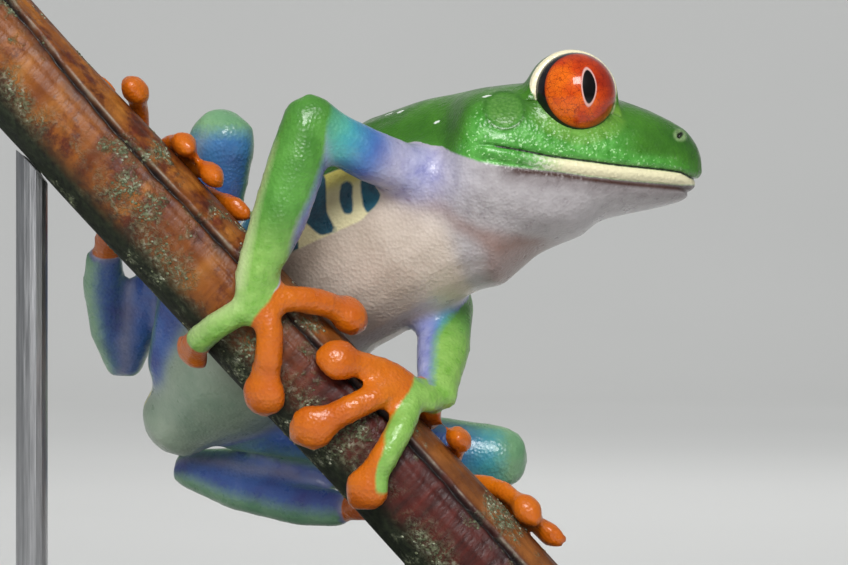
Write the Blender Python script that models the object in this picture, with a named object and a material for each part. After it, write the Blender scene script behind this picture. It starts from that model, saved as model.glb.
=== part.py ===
"""Red-eyed tree frog, a still life-size display model gripping a cut length of stem on a plain stand.

Lengths are in millimetres; object_from() turns each finished shape into metres. X runs towards the
snout, Y away from the frog's right side and Z up. Places are measured from a point between the
hands, and the empty called display moves everything so that the world origin is the centre of the
base's underside.
"""

import math

import bmesh
import bpy
from mathutils import Vector

GAP = 0.3  # between neighbouring solids
CAP_TURNS = (math.radians(35), math.radians(65))  # where a rounded end has its two rings

BASE_SIZE = (72.0, 52.0, 5.0)
BASE_CENTRE = (-15.0, 7.0)
BASE_TOP = -42.0
BASE_CORNER = 6.0
BASE_EDGE = 0.8
ROD_RADIUS = 1.5
ROD_SIDES = 16
ROD_OVERLENGTH = 3.0  # how far a rod reaches past the stem's underside before the stem cuts it
UPPER_ROD_X = -37.0
LOWER_ROD_X = 6.0

STEM_RADIUS = 5.2
STEM_SIDES = 28
STEM_STEPS = 5
GROOVE_DEPTH = 0.6
GROOVE_TURN = (48.0, 58.0)  # degrees from the upper edge to the near side, at the two ends
STEM_POINT = Vector((-20.7, 0.0, 1.4))
STEM_SLOPE = math.radians(47.0)
STEM_REACH = (-36.0, 48.5)  # from STEM_POINT up the slope and down it
STEM_ALONG = Vector((math.cos(STEM_SLOPE), 0.0, -math.sin(STEM_SLOPE)))
STEM_EDGE = Vector((math.sin(STEM_SLOPE), 0.0, math.cos(STEM_SLOPE)))
NEAR_SIDE = Vector((0.0, -1.0, 0.0))

HEAD_MID_Y = 4.3
HEAD_POINTS = 11  # faces round each half section
HEAD_SQUARENESS = 0.82  # 1 is a plain ellipse
JAW_SQUARENESS = 0.9
EYE_RADIUS = 3.9
RIGHT_EYE = Vector((14.1, -1.6, 17.7))
ORBIT_RADIUS = 4.45
ORBIT_SINK = 0.9  # the orbit's centre lies this much deeper than the eye's
ORBIT_SET = 0.25  # and this much further back and lower
NAPE = Vector((2.2, 0.0, 7.4))  # where the throat fold meets the back of the head
CROWN_BACK = Vector((3.0, 0.0, 19.5))
FOLD_FRONT = Vector((14.5, 0.0, 3.7))
WEDGE_REACH = 40.0  # long enough to clear the whole head

SHOULDERS = {"right": (1.0, -0.5, 9.6), "left": (-4.0, 16.0, 10.0)}
ELBOWS = {"right": (-10.7, -6.0, 15.3), "left": (2.0, 14.8, 0.6)}
WRISTS = {"right": (-16.0, -6.9, -0.9), "left": (1.2, -1.6, -11.2)}
HIPS = {"right": (-24.2, 17.6, -8.3), "left": (-19.4, 20.4, -13.4)}
KNEES = {"right": (-19.5, 8.5, 13.8), "left": (7.4, 19.0, -17.5)}
HEELS = {"right": (-30.4, 24.0, -8.0), "left": (-23.8, 25.0, -18.9)}
ANKLES = {"right": (-31.6, 15.5, 3.2), "left": (-7.4, 17.5, -22.6)}

FINGER_RADIUS = 1.25
TOE_RADIUS = 0.9
DISC_THICKNESS = 0.85  # half of it
HAND_DISC = 1.95
FOOT_DISC = 1.55
PALM_HEIGHT = 1.3


def mm(*lengths):
    return tuple(length / 1000 for length in lengths)


def clear_scene():
    for obj in list(bpy.data.objects):
        bpy.data.objects.remove(obj, do_unlink=True)


def material(name, colour, roughness=0.4, metallic=0.0):
    made = bpy.data.materials.new(name)
    made.use_nodes = True
    shader = made.node_tree.nodes["Principled BSDF"]
    shader.inputs["Base Color"].default_value = (*colour, 1.0)
    shader.inputs["Roughness"].default_value = roughness
    shader.inputs["Metallic"].default_value = metallic
    return made


def object_from(bm, name, look=None, parent=None):
    bmesh.ops.scale(bm, vec=mm(1, 1, 1), verts=bm.verts)
    bmesh.ops.recalc_face_normals(bm, faces=bm.faces)
    mesh = bpy.data.meshes.new(name)
    bm.to_mesh(mesh)
    bm.free()
    mesh.shade_smooth()
    obj = bpy.data.objects.new(name, mesh)
    bpy.context.collection.objects.link(obj)
    obj.parent = parent
    if look:
        mesh.materials.append(look)
    else:
        obj.hide_render = True
        obj.display_type = "WIRE"
    return obj


def boolean(obj, operation, *tools):
    for tool in tools:
        cut = obj.modifiers.new(tool.name, "BOOLEAN")
        cut.operation = operation
        cut.solver = "EXACT"
        cut.object = tool


def skin_rings(bm, rings, closed=True):
    """Faces between rings of the same count, which run around one after another."""
    count = len(rings[0])
    for near, far in zip(rings, rings[1:]):
        for i in range(count if closed else count - 1):
            j = (i + 1) % count
            bm.faces.new((near[i], near[j], far[j], far[i]))


def pole(bm, ring, point):
    tip = bm.verts.new(point)
    for i, vert in enumerate(ring):
        bm.faces.new((vert, ring[(i + 1) % len(ring)], tip))


def ellipse(bm, centre, across, through, sides):
    turns = [2 * math.pi * i / sides for i in range(sides)]
    return [bm.verts.new(centre + across * math.cos(t) + through * math.sin(t)) for t in turns]


def tube(stations, sides=12, ends=(1.0, 1.0)):
    """A closed loft. A station is (point, half width, half thickness, thickness direction).

    ends says how far each end bulges, as a share of its half thickness, and 0 leaves it flat.
    """
    bm = bmesh.new()
    points = [Vector(station[0]) for station in stations]
    last = len(points) - 1
    rings = []
    for i, (_, wide, thick, towards) in enumerate(stations):
        forward = (points[min(i + 1, last)] - points[max(i - 1, 0)]).normalized()
        through = (Vector(towards) - forward * Vector(towards).dot(forward)).normalized()
        across = forward.cross(through)
        bulge = {0: (-ends[0], 0), last: (ends[1], 1)}.get(i)
        around = [(0.0, 1.0)]
        if bulge and bulge[0]:
            arc = [(math.sin(a) * bulge[0], math.cos(a)) for a in CAP_TURNS]
            around = around + arc if bulge[1] else arc[::-1] + around
        for step, scale in around:
            centre = points[i] + forward * step * thick
            rings.append(ellipse(bm, centre, across * wide * scale, through * thick * scale, sides))
        if bulge:
            tip = points[i] + forward * bulge[0] * thick
            end = rings[-1] if bulge[1] else rings[-len(around)]
            pole(bm, end, tip)
    skin_rings(bm, rings)
    return bm


def keep_beyond(bm, point, normal):
    """Cuts the shape with a plane and keeps the side that the normal points to."""
    geometry = bm.verts[:] + bm.edges[:] + bm.faces[:]
    cut = bmesh.ops.bisect_plane(
        bm, geom=geometry, plane_co=point, plane_no=normal, clear_inner=True
    )
    rim = [edge for edge in cut["geom_cut"] if isinstance(edge, bmesh.types.BMEdge)]
    bmesh.ops.contextual_create(bm, geom=rim)


def joint_plane(before, joint, after):
    """The plane that halves a bend: its normal points to the side of the segment before the joint."""
    back = (Vector(before) - Vector(joint)).normalized()
    onward = (Vector(after) - Vector(joint)).normalized()
    return (back - onward).normalized()


def on_stem(along, turn, height):
    """A point by its way down the stem, its turn from the upper edge to the near side, and height."""
    angle = math.radians(turn)
    outward = STEM_EDGE * math.cos(angle) + NEAR_SIDE * math.sin(angle)
    return STEM_POINT + STEM_ALONG * along + outward * (STEM_RADIUS + GAP + height), outward


TRUNK_SIDES = 22
TRUNK_DORSAL = Vector((-0.41, 0.51, 0.75))
TRUNK = [  # centre, half width, half depth
    ((11.7, 4.4, 8.6), 5.8, 5.6),
    ((7.9, 4.9, 9.0), 7.9, 9.6),
    ((3.5, 5.8, 8.8), 8.5, 9.9),
    ((-1.3, 7.5, 6.9), 8.7, 10.0),
    ((-5.8, 10.2, 3.9), 9.0, 9.6),
    ((-10.2, 13.0, 0.7), 9.0, 9.1),
    ((-16.0, 16.0, -5.2), 8.4, 7.9),
    ((-20.8, 18.5, -10.2), 6.6, 6.3),
    ((-24.0, 20.2, -13.2), 4.2, 4.2),
]
HEAD = [  # x, mouth line, crown, half width
    (26.35, 10.2, 11.9, 1.3),
    (25.9, 9.8, 13.2, 2.5),
    (24.9, 9.9, 14.5, 3.7),
    (23.4, 10.15, 15.4, 4.8),
    (21.3, 10.5, 16.4, 5.9),
    (18.8, 10.9, 17.3, 7.1),
    (16.0, 11.3, 18.1, 8.1),
    (13.0, 11.7, 18.8, 8.8),
    (10.0, 12.1, 19.0, 9.4),
    (7.0, 12.6, 18.7, 9.8),
    (4.0, 12.9, 18.4, 9.9),
    (0.5, 13.0, 17.8, 9.6),
]
JAW = [  # x, mouth line, lowest point of the throat, half width
    (25.5, 9.6, 8.9, 1.6),
    (24.9, 9.8, 8.0, 2.7),
    (23.4, 10.05, 7.5, 4.2),
    (21.3, 10.4, 7.0, 5.5),
    (18.8, 10.8, 6.5, 6.8),
    (16.6, 11.1, 5.9, 7.7),
    (15.2, 11.3, 4.7, 8.1),
    (13.0, 11.6, 2.8, 8.6),
    (10.0, 12.0, 1.9, 9.2),
    (7.0, 12.5, 1.2, 9.6),
    (4.0, 12.8, 1.0, 9.7),
    (0.5, 12.9, 1.0, 9.5),
]


def half_loft(stations, squareness, lift):
    """A loft along X whose sections are half a squared ellipse standing on a flat side."""
    bm = bmesh.new()
    rings = []
    for x, flat, far, wide in stations:
        ring = []
        for i in range(HEAD_POINTS + 1):
            angle = math.pi * i / HEAD_POINTS
            y = wide * math.copysign(abs(math.cos(angle)) ** squareness, math.cos(angle))
            z = flat + lift + (far - flat - lift) * math.sin(angle) ** squareness
            ring.append(bm.verts.new((x, HEAD_MID_Y + y, z)))
        rings.append(ring)
    skin_rings(bm, rings)
    bm.faces.new(rings[0])
    bm.faces.new(rings[-1])
    return bm


def ball(centre, radius, segments=18, rings=12):
    bm = bmesh.new()
    bmesh.ops.create_uvsphere(bm, u_segments=segments, v_segments=rings, radius=radius)
    bmesh.ops.translate(bm, vec=centre, verts=bm.verts)
    return bm


def eye_centre(side):
    if side == "right":
        return RIGHT_EYE
    return Vector((RIGHT_EYE.x, 2 * HEAD_MID_Y - RIGHT_EYE.y, RIGHT_EYE.z))


def back_plane(gap):
    """A point and the normal, pointing to the snout, of the plane behind the head."""
    normal = Vector((CROWN_BACK.z - NAPE.z, 0, NAPE.x - CROWN_BACK.x)).normalized()
    return NAPE + normal * gap, normal


def fold_plane(gap):
    """The same for the plane under the throat, whose normal points up."""
    normal = Vector((NAPE.z - FOLD_FRONT.z, 0, FOLD_FRONT.x - NAPE.x)).normalized()
    return NAPE + normal * gap, normal


def make_eyes(parent, look):
    for side in ("right", "left"):
        object_from(ball(eye_centre(side), EYE_RADIUS), "eye_" + side, look, parent)


def make_head(parent, look):
    bm = half_loft(HEAD, HEAD_SQUARENESS, GAP / 2)
    keep_beyond(bm, *back_plane(GAP / 2))
    head = object_from(bm, "head", look, parent)
    for side, outward in (("right", -1), ("left", 1)):
        sunk = eye_centre(side) - Vector((ORBIT_SET, outward * ORBIT_SINK, ORBIT_SET))
        orbit = object_from(ball(sunk, ORBIT_RADIUS, 18, 12), "orbit_" + side, None, parent)
        socket = ball(eye_centre(side), EYE_RADIUS + GAP, 20, 10)
        boolean(head, "UNION", orbit)
        boolean(head, "DIFFERENCE", object_from(socket, "socket_" + side, None, parent))


def make_jaw(parent, look):
    bm = half_loft(JAW, JAW_SQUARENESS, -GAP / 2)
    keep_beyond(bm, *back_plane(GAP / 2))
    keep_beyond(bm, *fold_plane(GAP / 2))
    object_from(bm, "lower_jaw", look, parent)


def trunk_shape(extra):
    stations = [(place, wide + extra, deep + extra, TRUNK_DORSAL) for place, wide, deep in TRUNK]
    return tube(stations, TRUNK_SIDES)


def throat_wedge():
    """The space that the head and throat fill, which the trunk is cut to."""
    bm = bmesh.new()
    corner = NAPE - back_plane(1)[1] * GAP / 2 - fold_plane(1)[1] * GAP / 2
    up = (CROWN_BACK - NAPE).normalized() * WEDGE_REACH
    along = (FOLD_FRONT - NAPE).normalized() * WEDGE_REACH
    outline = [corner, corner + along, corner + along + up, corner + up]
    sides = [
        [bm.verts.new(place + Vector((0, y, 0))) for place in outline]
        for y in (-WEDGE_REACH, WEDGE_REACH)
    ]
    skin_rings(bm, sides)
    bm.faces.new(sides[0])
    bm.faces.new(sides[1])
    return bm


def make_trunk(parent, look):
    """The body from the neck to the vent, halved across its waist."""
    wedge = object_from(throat_wedge(), "throat_wedge", None, parent)
    waist = Vector(TRUNK[5][0])
    normal = (Vector(TRUNK[4][0]) - Vector(TRUNK[6][0])).normalized()
    for name, facing in (("trunk_front", 1), ("trunk_rear", -1)):
        bm = trunk_shape(0)
        keep_beyond(bm, waist + normal * facing * GAP / 2, normal * facing)
        boolean(object_from(bm, name, look, parent), "DIFFERENCE", wedge)
    return object_from(trunk_shape(GAP), "trunk_space", None, parent)


# A limb's stations are (place, half width, half thickness); its cuts are the joint planes at its ends.
def limb_shape(stations, cuts, extra):
    bm = tube([(p, w + extra, t + extra, (0.0, 1.0, 0.0)) for p, w, t in stations], 12)
    for joint, normal in cuts:
        keep_beyond(bm, Vector(joint) + normal * (GAP / 2 - extra), normal)
    return bm


def limb(name, look, parent, stations, cuts, tools):
    """A limb segment cut at its joints and by what it lies against. Returns the space that it fills."""
    boolean(object_from(limb_shape(stations, cuts, 0), name, look, parent), "DIFFERENCE", *tools)
    return object_from(limb_shape(stations, cuts, GAP), name + "_space", None, parent)


def between(start, end, share, shift=(0, 0, 0)):
    return tuple(Vector(start).lerp(Vector(end), share) + Vector(shift))


def make_arm(side, parent, look, tools):
    shoulder, elbow, wrist = SHOULDERS[side], ELBOWS[side], WRISTS[side]
    bend = joint_plane(shoulder, elbow, wrist)
    sag = {"right": -0.7, "left": 0.0}[side]
    upper = [
        (shoulder, 2.6, 2.6),
        (between(shoulder, elbow, 0.5, (0, 0, sag)), 2.4, 2.4),
        (between(shoulder, elbow, 0.8, (0, 0, sag)), 2.3, 2.3),
        (elbow, 2.2, 2.2),
    ]
    upper_space = limb("upper_arm_" + side, look, parent, upper, [(elbow, bend)], tools)
    bow = {"right": (0.35, 0, 0), "left": (0.3, -0.3, 0)}[side]
    fore = [
        (elbow, 2.2, 2.2),
        (between(elbow, wrist, 0.25, bow), 2.7, 2.4),
        (between(elbow, wrist, 0.6, bow), 2.5, 2.1),
        (between(elbow, wrist, 0.85), 2.0, 1.6),
        (wrist, 1.8, 1.4),
    ]
    along = (Vector(elbow) - Vector(wrist)).normalized()
    cuts = [(elbow, -bend), (wrist, along)]
    return upper_space, limb("forearm_" + side, look, parent, fore, cuts, tools)


def make_leg(side, parent, look, tools):
    hip, knee, heel, ankle = HIPS[side], KNEES[side], HEELS[side], ANKLES[side]
    bend = joint_plane(hip, knee, heel)
    thigh = [
        (hip, 3.3, 3.3),
        (between(hip, knee, 0.35), 3.5, 3.3),
        (between(hip, knee, 0.75), 3.1, 3.0),
        (knee, 3.15, 3.0),
    ]
    thigh_space = limb("thigh_" + side, look, parent, thigh, [(knee, bend)], tools)
    hock = joint_plane(knee, heel, ankle)
    shank = [
        (knee, 3.15, 3.0),
        (between(knee, heel, 0.25), 3.1, 2.9),
        (between(knee, heel, 0.5), 2.7, 2.5),
        (between(knee, heel, 0.8), 1.9, 1.8),
        (heel, 1.9, 1.8),
    ]
    cuts = [(knee, -bend), (heel, hock)]
    shank_space = limb("shank_" + side, look, parent, shank, cuts, [*tools, thigh_space])
    bow = {"right": (-0.7, 0, 0), "left": (0, 0, -0.8)}[side]
    tarsus = [
        (heel, 1.9, 1.8),
        (between(heel, ankle, 0.3, bow), 2.1, 1.9),
        (between(heel, ankle, 0.7, bow), 2.0, 1.7),
        (ankle, 1.7, 1.4),
    ]
    along = (Vector(heel) - Vector(ankle)).normalized()
    cuts = [(heel, -hock), (ankle, along)]
    tools = [*tools, thigh_space, shank_space]
    return thigh_space, shank_space, limb("tarsus_" + side, look, parent, tarsus, cuts, tools)


# A digit is its curve over the stem: (along, turn) at its root, its middle and its disc, and the disc's
# height above the stem. The first pair of a hand or foot is where its palm or sole ends.
HANDS = {
    "right": [
        ((6.2, 76), None),
        ((5.2, 96), (4.3, 124), (5.1, 166), 0.9),
        ((7.2, 68), (10.3, 92), (12.4, 125), 0.9),
        ((7.0, 54), (9.9, 34), (12.4, 12), 1.7),
        ((4.6, 52), (3.2, 38), (2.0, 20), 0.9),
    ],
    "left": [
        ((21.4, 18), None),
        ((22.9, 34), (24.3, 80), (25.3, 115), 0.9),
        ((20.6, 34), (19.1, 74), (17.9, 113), 0.9),
        ((19.4, 20), (17.4, 42), (15.1, 57), 0.9),
        ((22.4, 4), (23.4, -6), (24.2, -16), 0.9),
    ],
}
FEET = {
    "right": [
        ((-11.5, -78), None),
        ((-13.0, -62), (-15.2, -38), (-16.6, -8), 0.9),
        ((-11.8, -60), (-11.2, -32), (-9.8, -2), 0.9),
        ((-10.4, -60), (-8.0, -32), (-6.0, 0), 0.9),
        ((-9.6, -70), (-5.6, -48), (-2.4, -26), 0.9),
        ((-13.6, -76), (-16.4, -64), (-19.0, -52), 0.9),
    ],
    "left": [
        ((30.8, -74), None),
        ((29.6, -56), (28.6, -30), (28.2, -1), 0.9),
        ((31.6, -52), (33.8, -22), (37.4, 4), 1.1),
        ((32.4, -58), (36.6, -34), (40.4, -14), 1.3),
        ((32.0, -72), (35.4, -60), (38.6, -50), 0.9),
        ((29.6, -76), (27.4, -68), (25.4, -60), 0.9),
    ],
}


def digit(palm, root, middle, tip, disc_height, disc, shaft):
    """A finger or toe lying round the stem, which ends in a flat round adhesive disc."""
    stations = []
    for share in (0.0, 0.25, 0.5, 0.72, 0.88, 1.0):
        left = 1 - share
        pulls = (left ** 3, 3 * left ** 2 * share, 3 * left * share ** 2, share ** 3)
        along = [sum(pull * way[i] for pull, way in zip(pulls, (palm, root, middle, tip)))
                 for i in range(2)]
        height = shaft + (disc_height - shaft) * share ** 2
        place, outward = on_stem(*along, height)
        wide, thick = {0.88: (shaft * 1.12, shaft * 0.8)}.get(share, (shaft, shaft))
        stations.append((place, wide, thick, outward))
    place, outward = stations[-1][0], stations[-1][3]
    forward = (place - stations[-2][0]).normalized()
    stations[-1] = (place, disc * 0.98, DISC_THICKNESS, outward)
    stations.append((place + forward * disc * 0.55, disc * 0.85, 0.8, outward))
    stations.append((place + forward * disc * 0.9, disc * 0.5, 0.65, outward))
    return tube(stations, 8, (0, 1.0))


def make_grip(name, joint, before, digits, sizes, parent, look, tools):
    """A hand or foot: its palm or sole, with every digit joined to it. Sizes are of a disc and a shaft."""
    end, outward = on_stem(*digits[0][0], PALM_HEIGHT)
    start = Vector(joint)
    away = (start - Vector(before)).normalized() * GAP
    radial = (start - STEM_POINT) - STEM_ALONG * (start - STEM_POINT).dot(STEM_ALONG)
    radial = radial.normalized()
    palm = [
        (start - away * 4, 1.5, 1.25, radial),
        (start.lerp(end, 0.35), 1.8, PALM_HEIGHT, (radial + outward) / 2),
        (start.lerp(end, 0.75), 2.5, PALM_HEIGHT, outward),
        (end, 2.7, 1.25, outward),
    ]
    bm = tube(palm, 10)
    keep_beyond(bm, start + away / 2, away.normalized())
    obj = object_from(bm, name, look, parent)
    for number, way in enumerate(digits[1:]):
        shape = digit(digits[0][0], *way, *sizes)
        boolean(obj, "UNION", object_from(shape, f"{name}_digit_{number}", None, parent))
    boolean(obj, "DIFFERENCE", *tools)


def make_stem(parent, look):
    """A stem cut square at both ends, with a groove along it. Returns the space that it fills."""
    start, end = STEM_REACH
    shapes = (("perch_stem", 0, STEM_STEPS, GROOVE_DEPTH), ("stem_space", GAP, 1, 0))
    for name, extra, steps, depth in shapes:
        bm = bmesh.new()
        rings = []
        for step in range(steps + 1):
            share = step / steps
            centre = STEM_POINT + STEM_ALONG * (start + (end - start) * share)
            groove = GROOVE_TURN[0] + (GROOVE_TURN[1] - GROOVE_TURN[0]) * share
            ring = []
            for side in range(STEM_SIDES):
                angle = math.radians(groove + 360 * side / STEM_SIDES)
                outward = STEM_EDGE * math.cos(angle) + NEAR_SIDE * math.sin(angle)
                radius = STEM_RADIUS + extra - (depth if side == 0 else 0)
                ring.append(bm.verts.new(centre + outward * radius))
            rings.append(ring)
        skin_rings(bm, rings)
        bm.faces.new(rings[0])
        bm.faces.new(rings[-1])
        stem = object_from(bm, name, look if depth else None, parent)
    return stem


def stem_underside(x):
    along = (x - STEM_POINT.x) / STEM_ALONG.x
    return STEM_POINT.z + STEM_ALONG.z * along - STEM_RADIUS / STEM_EDGE.z


def make_stand(parent, stem_space, steel):
    bm = bmesh.new()
    bmesh.ops.create_cube(bm, size=1.0)
    bmesh.ops.scale(bm, vec=BASE_SIZE, verts=bm.verts)
    corners = [e for e in bm.edges if abs((e.verts[0].co - e.verts[1].co).z) > 1]
    bmesh.ops.bevel(bm, geom=corners, offset=BASE_CORNER, segments=6, profile=0.5, affect="EDGES")
    top = [e for e in bm.edges if min(v.co.z for v in e.verts) > BASE_SIZE[2] / 2 - 0.01]
    bmesh.ops.bevel(bm, geom=top, offset=BASE_EDGE, segments=2, profile=0.5, affect="EDGES")
    bmesh.ops.translate(bm, vec=(*BASE_CENTRE, BASE_TOP - BASE_SIZE[2] / 2), verts=bm.verts)
    object_from(bm, "stand_base", material("base_paint", (0.05, 0.05, 0.055), 0.45), parent)
    for name, x in (("stand_rod_upper", UPPER_ROD_X), ("stand_rod_lower", LOWER_ROD_X)):
        foot = BASE_TOP + GAP
        top = stem_underside(x) + ROD_OVERLENGTH
        bm = bmesh.new()
        bmesh.ops.create_cone(
            bm,
            cap_ends=True,
            segments=ROD_SIDES,
            radius1=ROD_RADIUS,
            radius2=ROD_RADIUS,
            depth=top - foot,
        )
        bmesh.ops.translate(bm, vec=(x, 0.0, (top + foot) / 2), verts=bm.verts)
        boolean(object_from(bm, name, steel, parent), "DIFFERENCE", stem_space)


def main():
    clear_scene()
    display = bpy.data.objects.new("display", None)
    bpy.context.collection.objects.link(display)
    display.location = mm(-BASE_CENTRE[0], -BASE_CENTRE[1], BASE_SIZE[2] - BASE_TOP)
    green = material("green_skin", (0.16, 0.42, 0.06))
    pale = material("pale_skin", (0.78, 0.72, 0.66), 0.5)
    orange = material("orange_skin", (0.80, 0.25, 0.02), 0.3)
    blue = material("blue_skin", (0.10, 0.25, 0.55), 0.4)
    stem_space = make_stem(display, material("stem_bark", (0.42, 0.14, 0.03), 0.5))
    make_stand(display, stem_space, material("rod_steel", (0.6, 0.6, 0.6), 0.3, 1.0))
    make_eyes(display, material("eye_red", (0.75, 0.06, 0.01), 0.1))
    make_head(display, green)
    make_jaw(display, pale)
    trunk_space = make_trunk(display, pale)
    spaces = [trunk_space, stem_space]
    for side in ("right", "left"):
        arm = make_arm(side, display, green, spaces)
        leg = make_leg(side, display, blue, spaces)
        hand_ends = (WRISTS[side], ELBOWS[side])
        hand_sizes = (HAND_DISC, FINGER_RADIUS)
        make_grip("hand_" + side, *hand_ends, HANDS[side], hand_sizes, display, orange, [*spaces, *arm])
        foot_ends = (ANKLES[side], HEELS[side])
        foot_sizes = (FOOT_DISC, TOE_RADIUS)
        make_grip("foot_" + side, *foot_ends, FEET[side], foot_sizes, display, orange, [*spaces, *leg])


main()
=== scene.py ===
import math

import bmesh
import bpy
import numpy as np
from mathutils import Matrix, Vector
from mathutils.bvhtree import BVHTree


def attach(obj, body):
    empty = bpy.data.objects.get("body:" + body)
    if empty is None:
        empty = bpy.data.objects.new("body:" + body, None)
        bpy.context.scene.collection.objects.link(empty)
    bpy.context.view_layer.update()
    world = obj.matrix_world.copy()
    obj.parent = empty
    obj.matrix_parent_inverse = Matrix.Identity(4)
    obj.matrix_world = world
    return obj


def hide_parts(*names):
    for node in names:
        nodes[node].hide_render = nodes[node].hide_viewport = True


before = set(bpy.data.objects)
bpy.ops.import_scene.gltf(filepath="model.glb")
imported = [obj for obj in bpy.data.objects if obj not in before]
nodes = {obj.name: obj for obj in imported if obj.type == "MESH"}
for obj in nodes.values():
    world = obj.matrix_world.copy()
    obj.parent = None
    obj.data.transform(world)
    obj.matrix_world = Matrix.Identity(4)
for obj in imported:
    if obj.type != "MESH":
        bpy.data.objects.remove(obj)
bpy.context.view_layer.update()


# Stand base: a flat plate of steel, cut with rounded corners and a softened top edge,
# powder coated in a fine dark grain. The whole model rests on it.
def feed(tree, node, inputs):
    """Each of these inputs of a node joined to a socket or set to a value."""
    for name, given in inputs.items():
        socket = node.inputs[name]
        if isinstance(given, bpy.types.NodeSocket):
            tree.links.new(given, socket)
        else:
            socket.default_value = (*given, 1.0) if socket.type == "RGBA" else given


def add(tree, kind, inputs, **settings):
    """A new node with its own settings and its inputs fed."""
    made = tree.nodes.new(kind)
    for name, value in settings.items():
        setattr(made, name, value)
    feed(tree, made, inputs)
    return made


def new_material(name):
    """An empty Principled material, its tree, its shader and its object coordinates."""
    made = bpy.data.materials.new(name)
    made.use_nodes = True
    tree = made.node_tree
    return made, tree, tree.nodes["Principled BSDF"], add(tree, "ShaderNodeTexCoord", {}).outputs["Object"]


def grain_group():
    """A node group of cloudy grain, from 0 to 1, for the coating, the bark, the skin and the eyes."""
    made = bpy.data.node_groups.new("fine_grain", "ShaderNodeTree")
    made.interface.new_socket("Place", in_out="INPUT", socket_type="NodeSocketVector")
    for name in ("Cycles per metre", "Detail", "Coarseness"):
        made.interface.new_socket(name, in_out="INPUT", socket_type="NodeSocketFloat")
    made.interface.new_socket("Grain", in_out="OUTPUT", socket_type="NodeSocketFloat")
    place, cycles, detail, coarseness = add(made, "NodeGroupInput", {}).outputs[:4]
    sizes = {"Vector": place, "Scale": cycles, "Detail": detail, "Roughness": coarseness}
    noise = add(made, "ShaderNodeTexNoise", sizes)
    add(made, "NodeGroupOutput", {"Grain": noise.outputs["Fac"]})
    return made


fine_grain = grain_group()


def grain(tree, place, cycles, detail=2.0, coarseness=0.5):
    """The shared grain in one material, at this many cycles to the metre."""
    sizes = {"Place": place, "Cycles per metre": cycles, "Detail": detail, "Coarseness": coarseness}
    return add(tree, "ShaderNodeGroup", sizes, node_tree=fine_grain).outputs["Grain"]


SHARE, FIRST_COLOUR, SECOND_COLOUR, MIXED_COLOUR = 0, 6, 7, 2  # the Mix node's sockets for colours


def mix(tree, share, first, second, blend="MIX"):
    """Two colours, or a socket and a colour, mixed by a share."""
    given = {SHARE: share, FIRST_COLOUR: first, SECOND_COLOUR: second}
    return add(tree, "ShaderNodeMix", given, data_type="RGBA", blend_type=blend).outputs[MIXED_COLOUR]


def bump(tree, shader, height, depth, strength=1.0):
    """A relief of this depth in metres, laid over any relief that the shader already has."""
    made = add(tree, "ShaderNodeBump", {"Strength": strength, "Distance": depth, "Height": height})
    if shader.inputs["Normal"].is_linked:
        tree.links.new(shader.inputs["Normal"].links[0].from_socket, made.inputs["Normal"])
    tree.links.new(made.outputs["Normal"], shader.inputs["Normal"])


def paint_node(name, finish):
    """Gives a CAD node that stays in the model its finish."""
    materials = nodes[name].data.materials
    materials.clear()
    materials.append(finish)


powder, tree, shader, place = new_material("powder_coat")
black = mix(tree, grain(tree, place, 45, detail=3.0), (0.035, 0.036, 0.04), (0.06, 0.06, 0.065))
feed(tree, shader, {"Base Color": black, "Roughness": 0.55})
bump(tree, shader, grain(tree, place, 2600), 0.00006)
paint_node("stand_base", powder)


# Stand rods: two lengths of drawn steel rod, set in the base and filed at the top to the stem.
# The drawing die leaves fine lines along each rod.
def ramp(tree, value, *stops):
    """A value turned into grey levels or colours by stops, each (position, level or colour)."""
    made = add(tree, "ShaderNodeValToRGB", {"Fac": value})
    while len(made.color_ramp.elements) < len(stops):
        made.color_ramp.elements.new(0.5)
    for element, (position, level) in zip(made.color_ramp.elements, stops):
        element.position = position
        rgb = (level,) * 3 if isinstance(level, (int, float)) else level
        element.color = (*rgb, 1.0)
    return made.outputs["Color"]


drawn, tree, shader, place = new_material("drawn_steel")
lengthwise = add(tree, "ShaderNodeMapping", {"Vector": place, "Scale": (1.0, 1.0, 0.04)}).outputs[0]
lines = grain(tree, lengthwise, 5200, detail=3.0)
steel = ramp(tree, lines, (0.3, (0.42, 0.42, 0.43)), (0.7, (0.62, 0.62, 0.63)))
dullness = ramp(tree, lines, (0.2, 0.28), (0.8, 0.48))
feed(tree, shader, {"Base Color": steel, "Roughness": dullness, "Metallic": 1.0})
bump(tree, shader, lines, 0.00003)
for name in ("stand_rod_upper", "stand_rod_lower"):
    paint_node(name, drawn)


# Perch stem: a short cut length of a thick plant stem, sawn at both ends and let down on the
# rods. Its bark is ridged lengthwise, with one deep groove, thin splits and stains of lichen.
ORIGIN_MM = (15.0, -7.0, 47.0)  # the zero of the forms' sizes, by the hands, from the middle of the base


def place_mm(x, y, z):
    """A place in metres from its sizes in millimetres."""
    return Vector((x + ORIGIN_MM[0], y + ORIGIN_MM[1], z + ORIGIN_MM[2])) * 0.001


def in_mm(points):
    """Points in the millimetres that place_mm takes."""
    return points * 1000.0 - np.array(ORIGIN_MM)


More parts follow.
